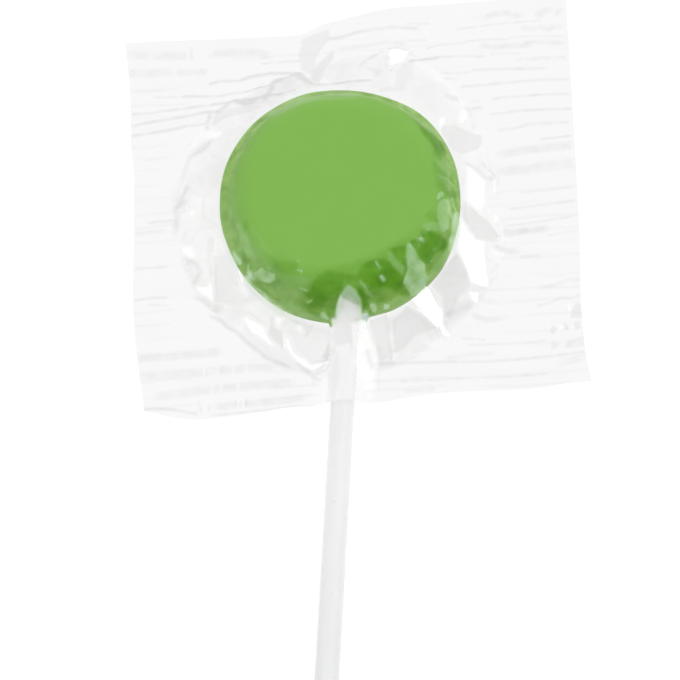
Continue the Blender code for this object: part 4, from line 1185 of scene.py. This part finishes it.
def film_shape(side, across, along):
    """Points of one film sheet, with how creased, light, hazy, gleaming and free of glints it is there."""
    sheet = Sheet(side, across, along)
    for step in (add_margins, add_pocket, add_tunnel, add_gleams, find_floor):
        step(sheet)
    sheet.lit, sheet.calm = np.zeros_like(sheet.x), np.zeros_like(sheet.x)
    if side > 0:
        turn_panels(sheet)
        add_creases(sheet)
    soften_beside_stick(sheet)
    # never into the sweet or the stick
    sheet.height = np.maximum(sheet.height, sheet.floor)
    add_bends(sheet)
    place_sheet(sheet)
    points = np.stack([sheet.x, sheet.y, sheet.z], axis=-1)
    looks = {
        "crease": np.clip(sheet.crease, 0, 1),
        "tone": np.clip(sheet.tone, -1, 1),
        "haze": sheet.haze,
        "gleam": np.clip(sheet.gleam, 0, 1),
        "still": sheet.still,
    }
    return points, looks


def make_film(material):
    """Both film sheets, whose columns lie closer over the pocket and at the right edge than elsewhere."""
    share = np.linspace(0, 1, 2001)
    place = GRID_WIDTH * share + GRID_LEFT
    coarse = ease((np.abs(place - 2.5) - 24) / 4) * (1 - ease((place - 29) / 1.5))
    run = np.cumsum(1 / (1 + 1.3 * coarse))
    run -= run[0]
    for side, name, (columns, rows) in ((1, "film_front", FRONT_GRID), (-1, "film_back", BACK_GRID)):
        shares = np.interp(np.linspace(0, 1, columns), run / run[-1], share)
        across, along = np.meshgrid(shares, np.linspace(0, 1, rows))
        points, looks = film_shape(side, across, along)
        mesh = grid_mesh(name, points, looks, flip=side < 0)
        mesh.materials.append(material)
        own_object(name, mesh, "wrapper")


# build
make_sweet()
make_stick()
make_film(film_material())


# stage
def make_floor():
    """A plain white floor."""
    bm = bmesh.new()
    bmesh.ops.create_grid(bm, x_segments=1, y_segments=1, size=4.0)
    floor = placed("floor", bm)
    floor.location = (0, 0, -0.00005)
    material, tree, out = new_material("white_floor")
    glow = node(tree, "ShaderNodeEmission", Color=grey(1.0), Strength=1.0)
    paper = node(tree, "ShaderNodeBsdfDiffuse", Color=grey(0.02))
    both = node(tree, "ShaderNodeAddShader")
    fill(tree, both.inputs, (glow.outputs[0], paper.outputs[0]))
    fill(tree, [out.inputs["Surface"]], both.outputs)
    floor.data.materials.append(material)


def make_lamp(name, direction, distance, size, power):
    """A rectangular lamp, turned to the sweet, with sizes in metres and its power in watts."""
    data = bpy.data.lights.new(name, "AREA")
    data.shape = "RECTANGLE"
    data.size, data.size_y = size
    data.energy = power
    lamp = bpy.data.objects.new(name, data)
    way = Vector(direction).normalized()
    lamp.location = way * distance + Vector((0, 0, MID_Z * MM))
    lamp.rotation_mode = "QUATERNION"
    lamp.rotation_quaternion = way.to_track_quat("Z", "Y")
    bpy.context.scene.collection.objects.link(lamp)
    return lamp


def make_world():
    """Soft light from the sides and the back, and a dark place low in front, where a camera would stand."""
    world = bpy.data.worlds.new("studio")
    world.use_nodes = True
    bpy.context.scene.world = world
    tree = world.node_tree
    tree.nodes.clear()
    out = tree.nodes.new("ShaderNodeOutputWorld")
    ways = node(tree, "ShaderNodeTexCoord").outputs["Generated"]
    split = node(tree, "ShaderNodeSeparateXYZ", Vector=ways)
    low = maths(tree, "SUBTRACT", 1.0, maths(tree, "ABSOLUTE", split.outputs["Z"]))
    level = maths(tree, "ADD", maths(tree, "MULTIPLY", low, 0.5), 0.30)
    front = maths(tree, "MULTIPLY", maths(tree, "ADD", split.outputs["Y"], 0.12), -2.6, clamp=True)
    open_share = maths(tree, "SUBTRACT", 1.0, maths(tree, "MULTIPLY", front, 0.85))
    soft = node(tree, "ShaderNodeBackground", Strength=maths(tree, "MULTIPLY", level, open_share))
    seen = node(tree, "ShaderNodeBackground", Color=grey(1.0), Strength=1.0)
    ray = node(tree, "ShaderNodeLightPath").outputs["Is Camera Ray"]
    fill(tree, [out.inputs["Surface"]], mix_shader(tree, ray, soft, seen).outputs)


def make_camera():
    """The photograph's view, which looks down on the part."""
    data = bpy.data.cameras.new("camera")
    data.lens, data.sensor_width = LENS, SENSOR
    data.clip_start, data.clip_end = 0.01, 50.0
    camera = bpy.data.objects.new("camera", data)
    camera.location = camera_place() * MM
    camera.rotation_mode = "QUATERNION"
    camera.rotation_quaternion = view_axes()[2].to_track_quat("Z", "Y")
    bpy.context.scene.collection.objects.link(camera)
    bpy.context.scene.camera = camera


make_floor()
make_lamp("lamp_right", RIGHT_WAY, distance=LAMP_FAR * MM, size=(0.28, 0.36), power=1.2)
make_lamp("lamp_left", LEFT_WAY, distance=LAMP_FAR * MM, size=(0.22, 0.26), power=0.65)
overhead = make_lamp("overhead", (0.0, 0.0, 1.0), distance=1.5, size=(6.0, 6.0), power=80.0)
overhead.visible_glossy = False
make_world()
make_camera()
scene = bpy.context.scene
scene.view_settings.view_transform = "Standard"
scene.view_settings.look = "None"
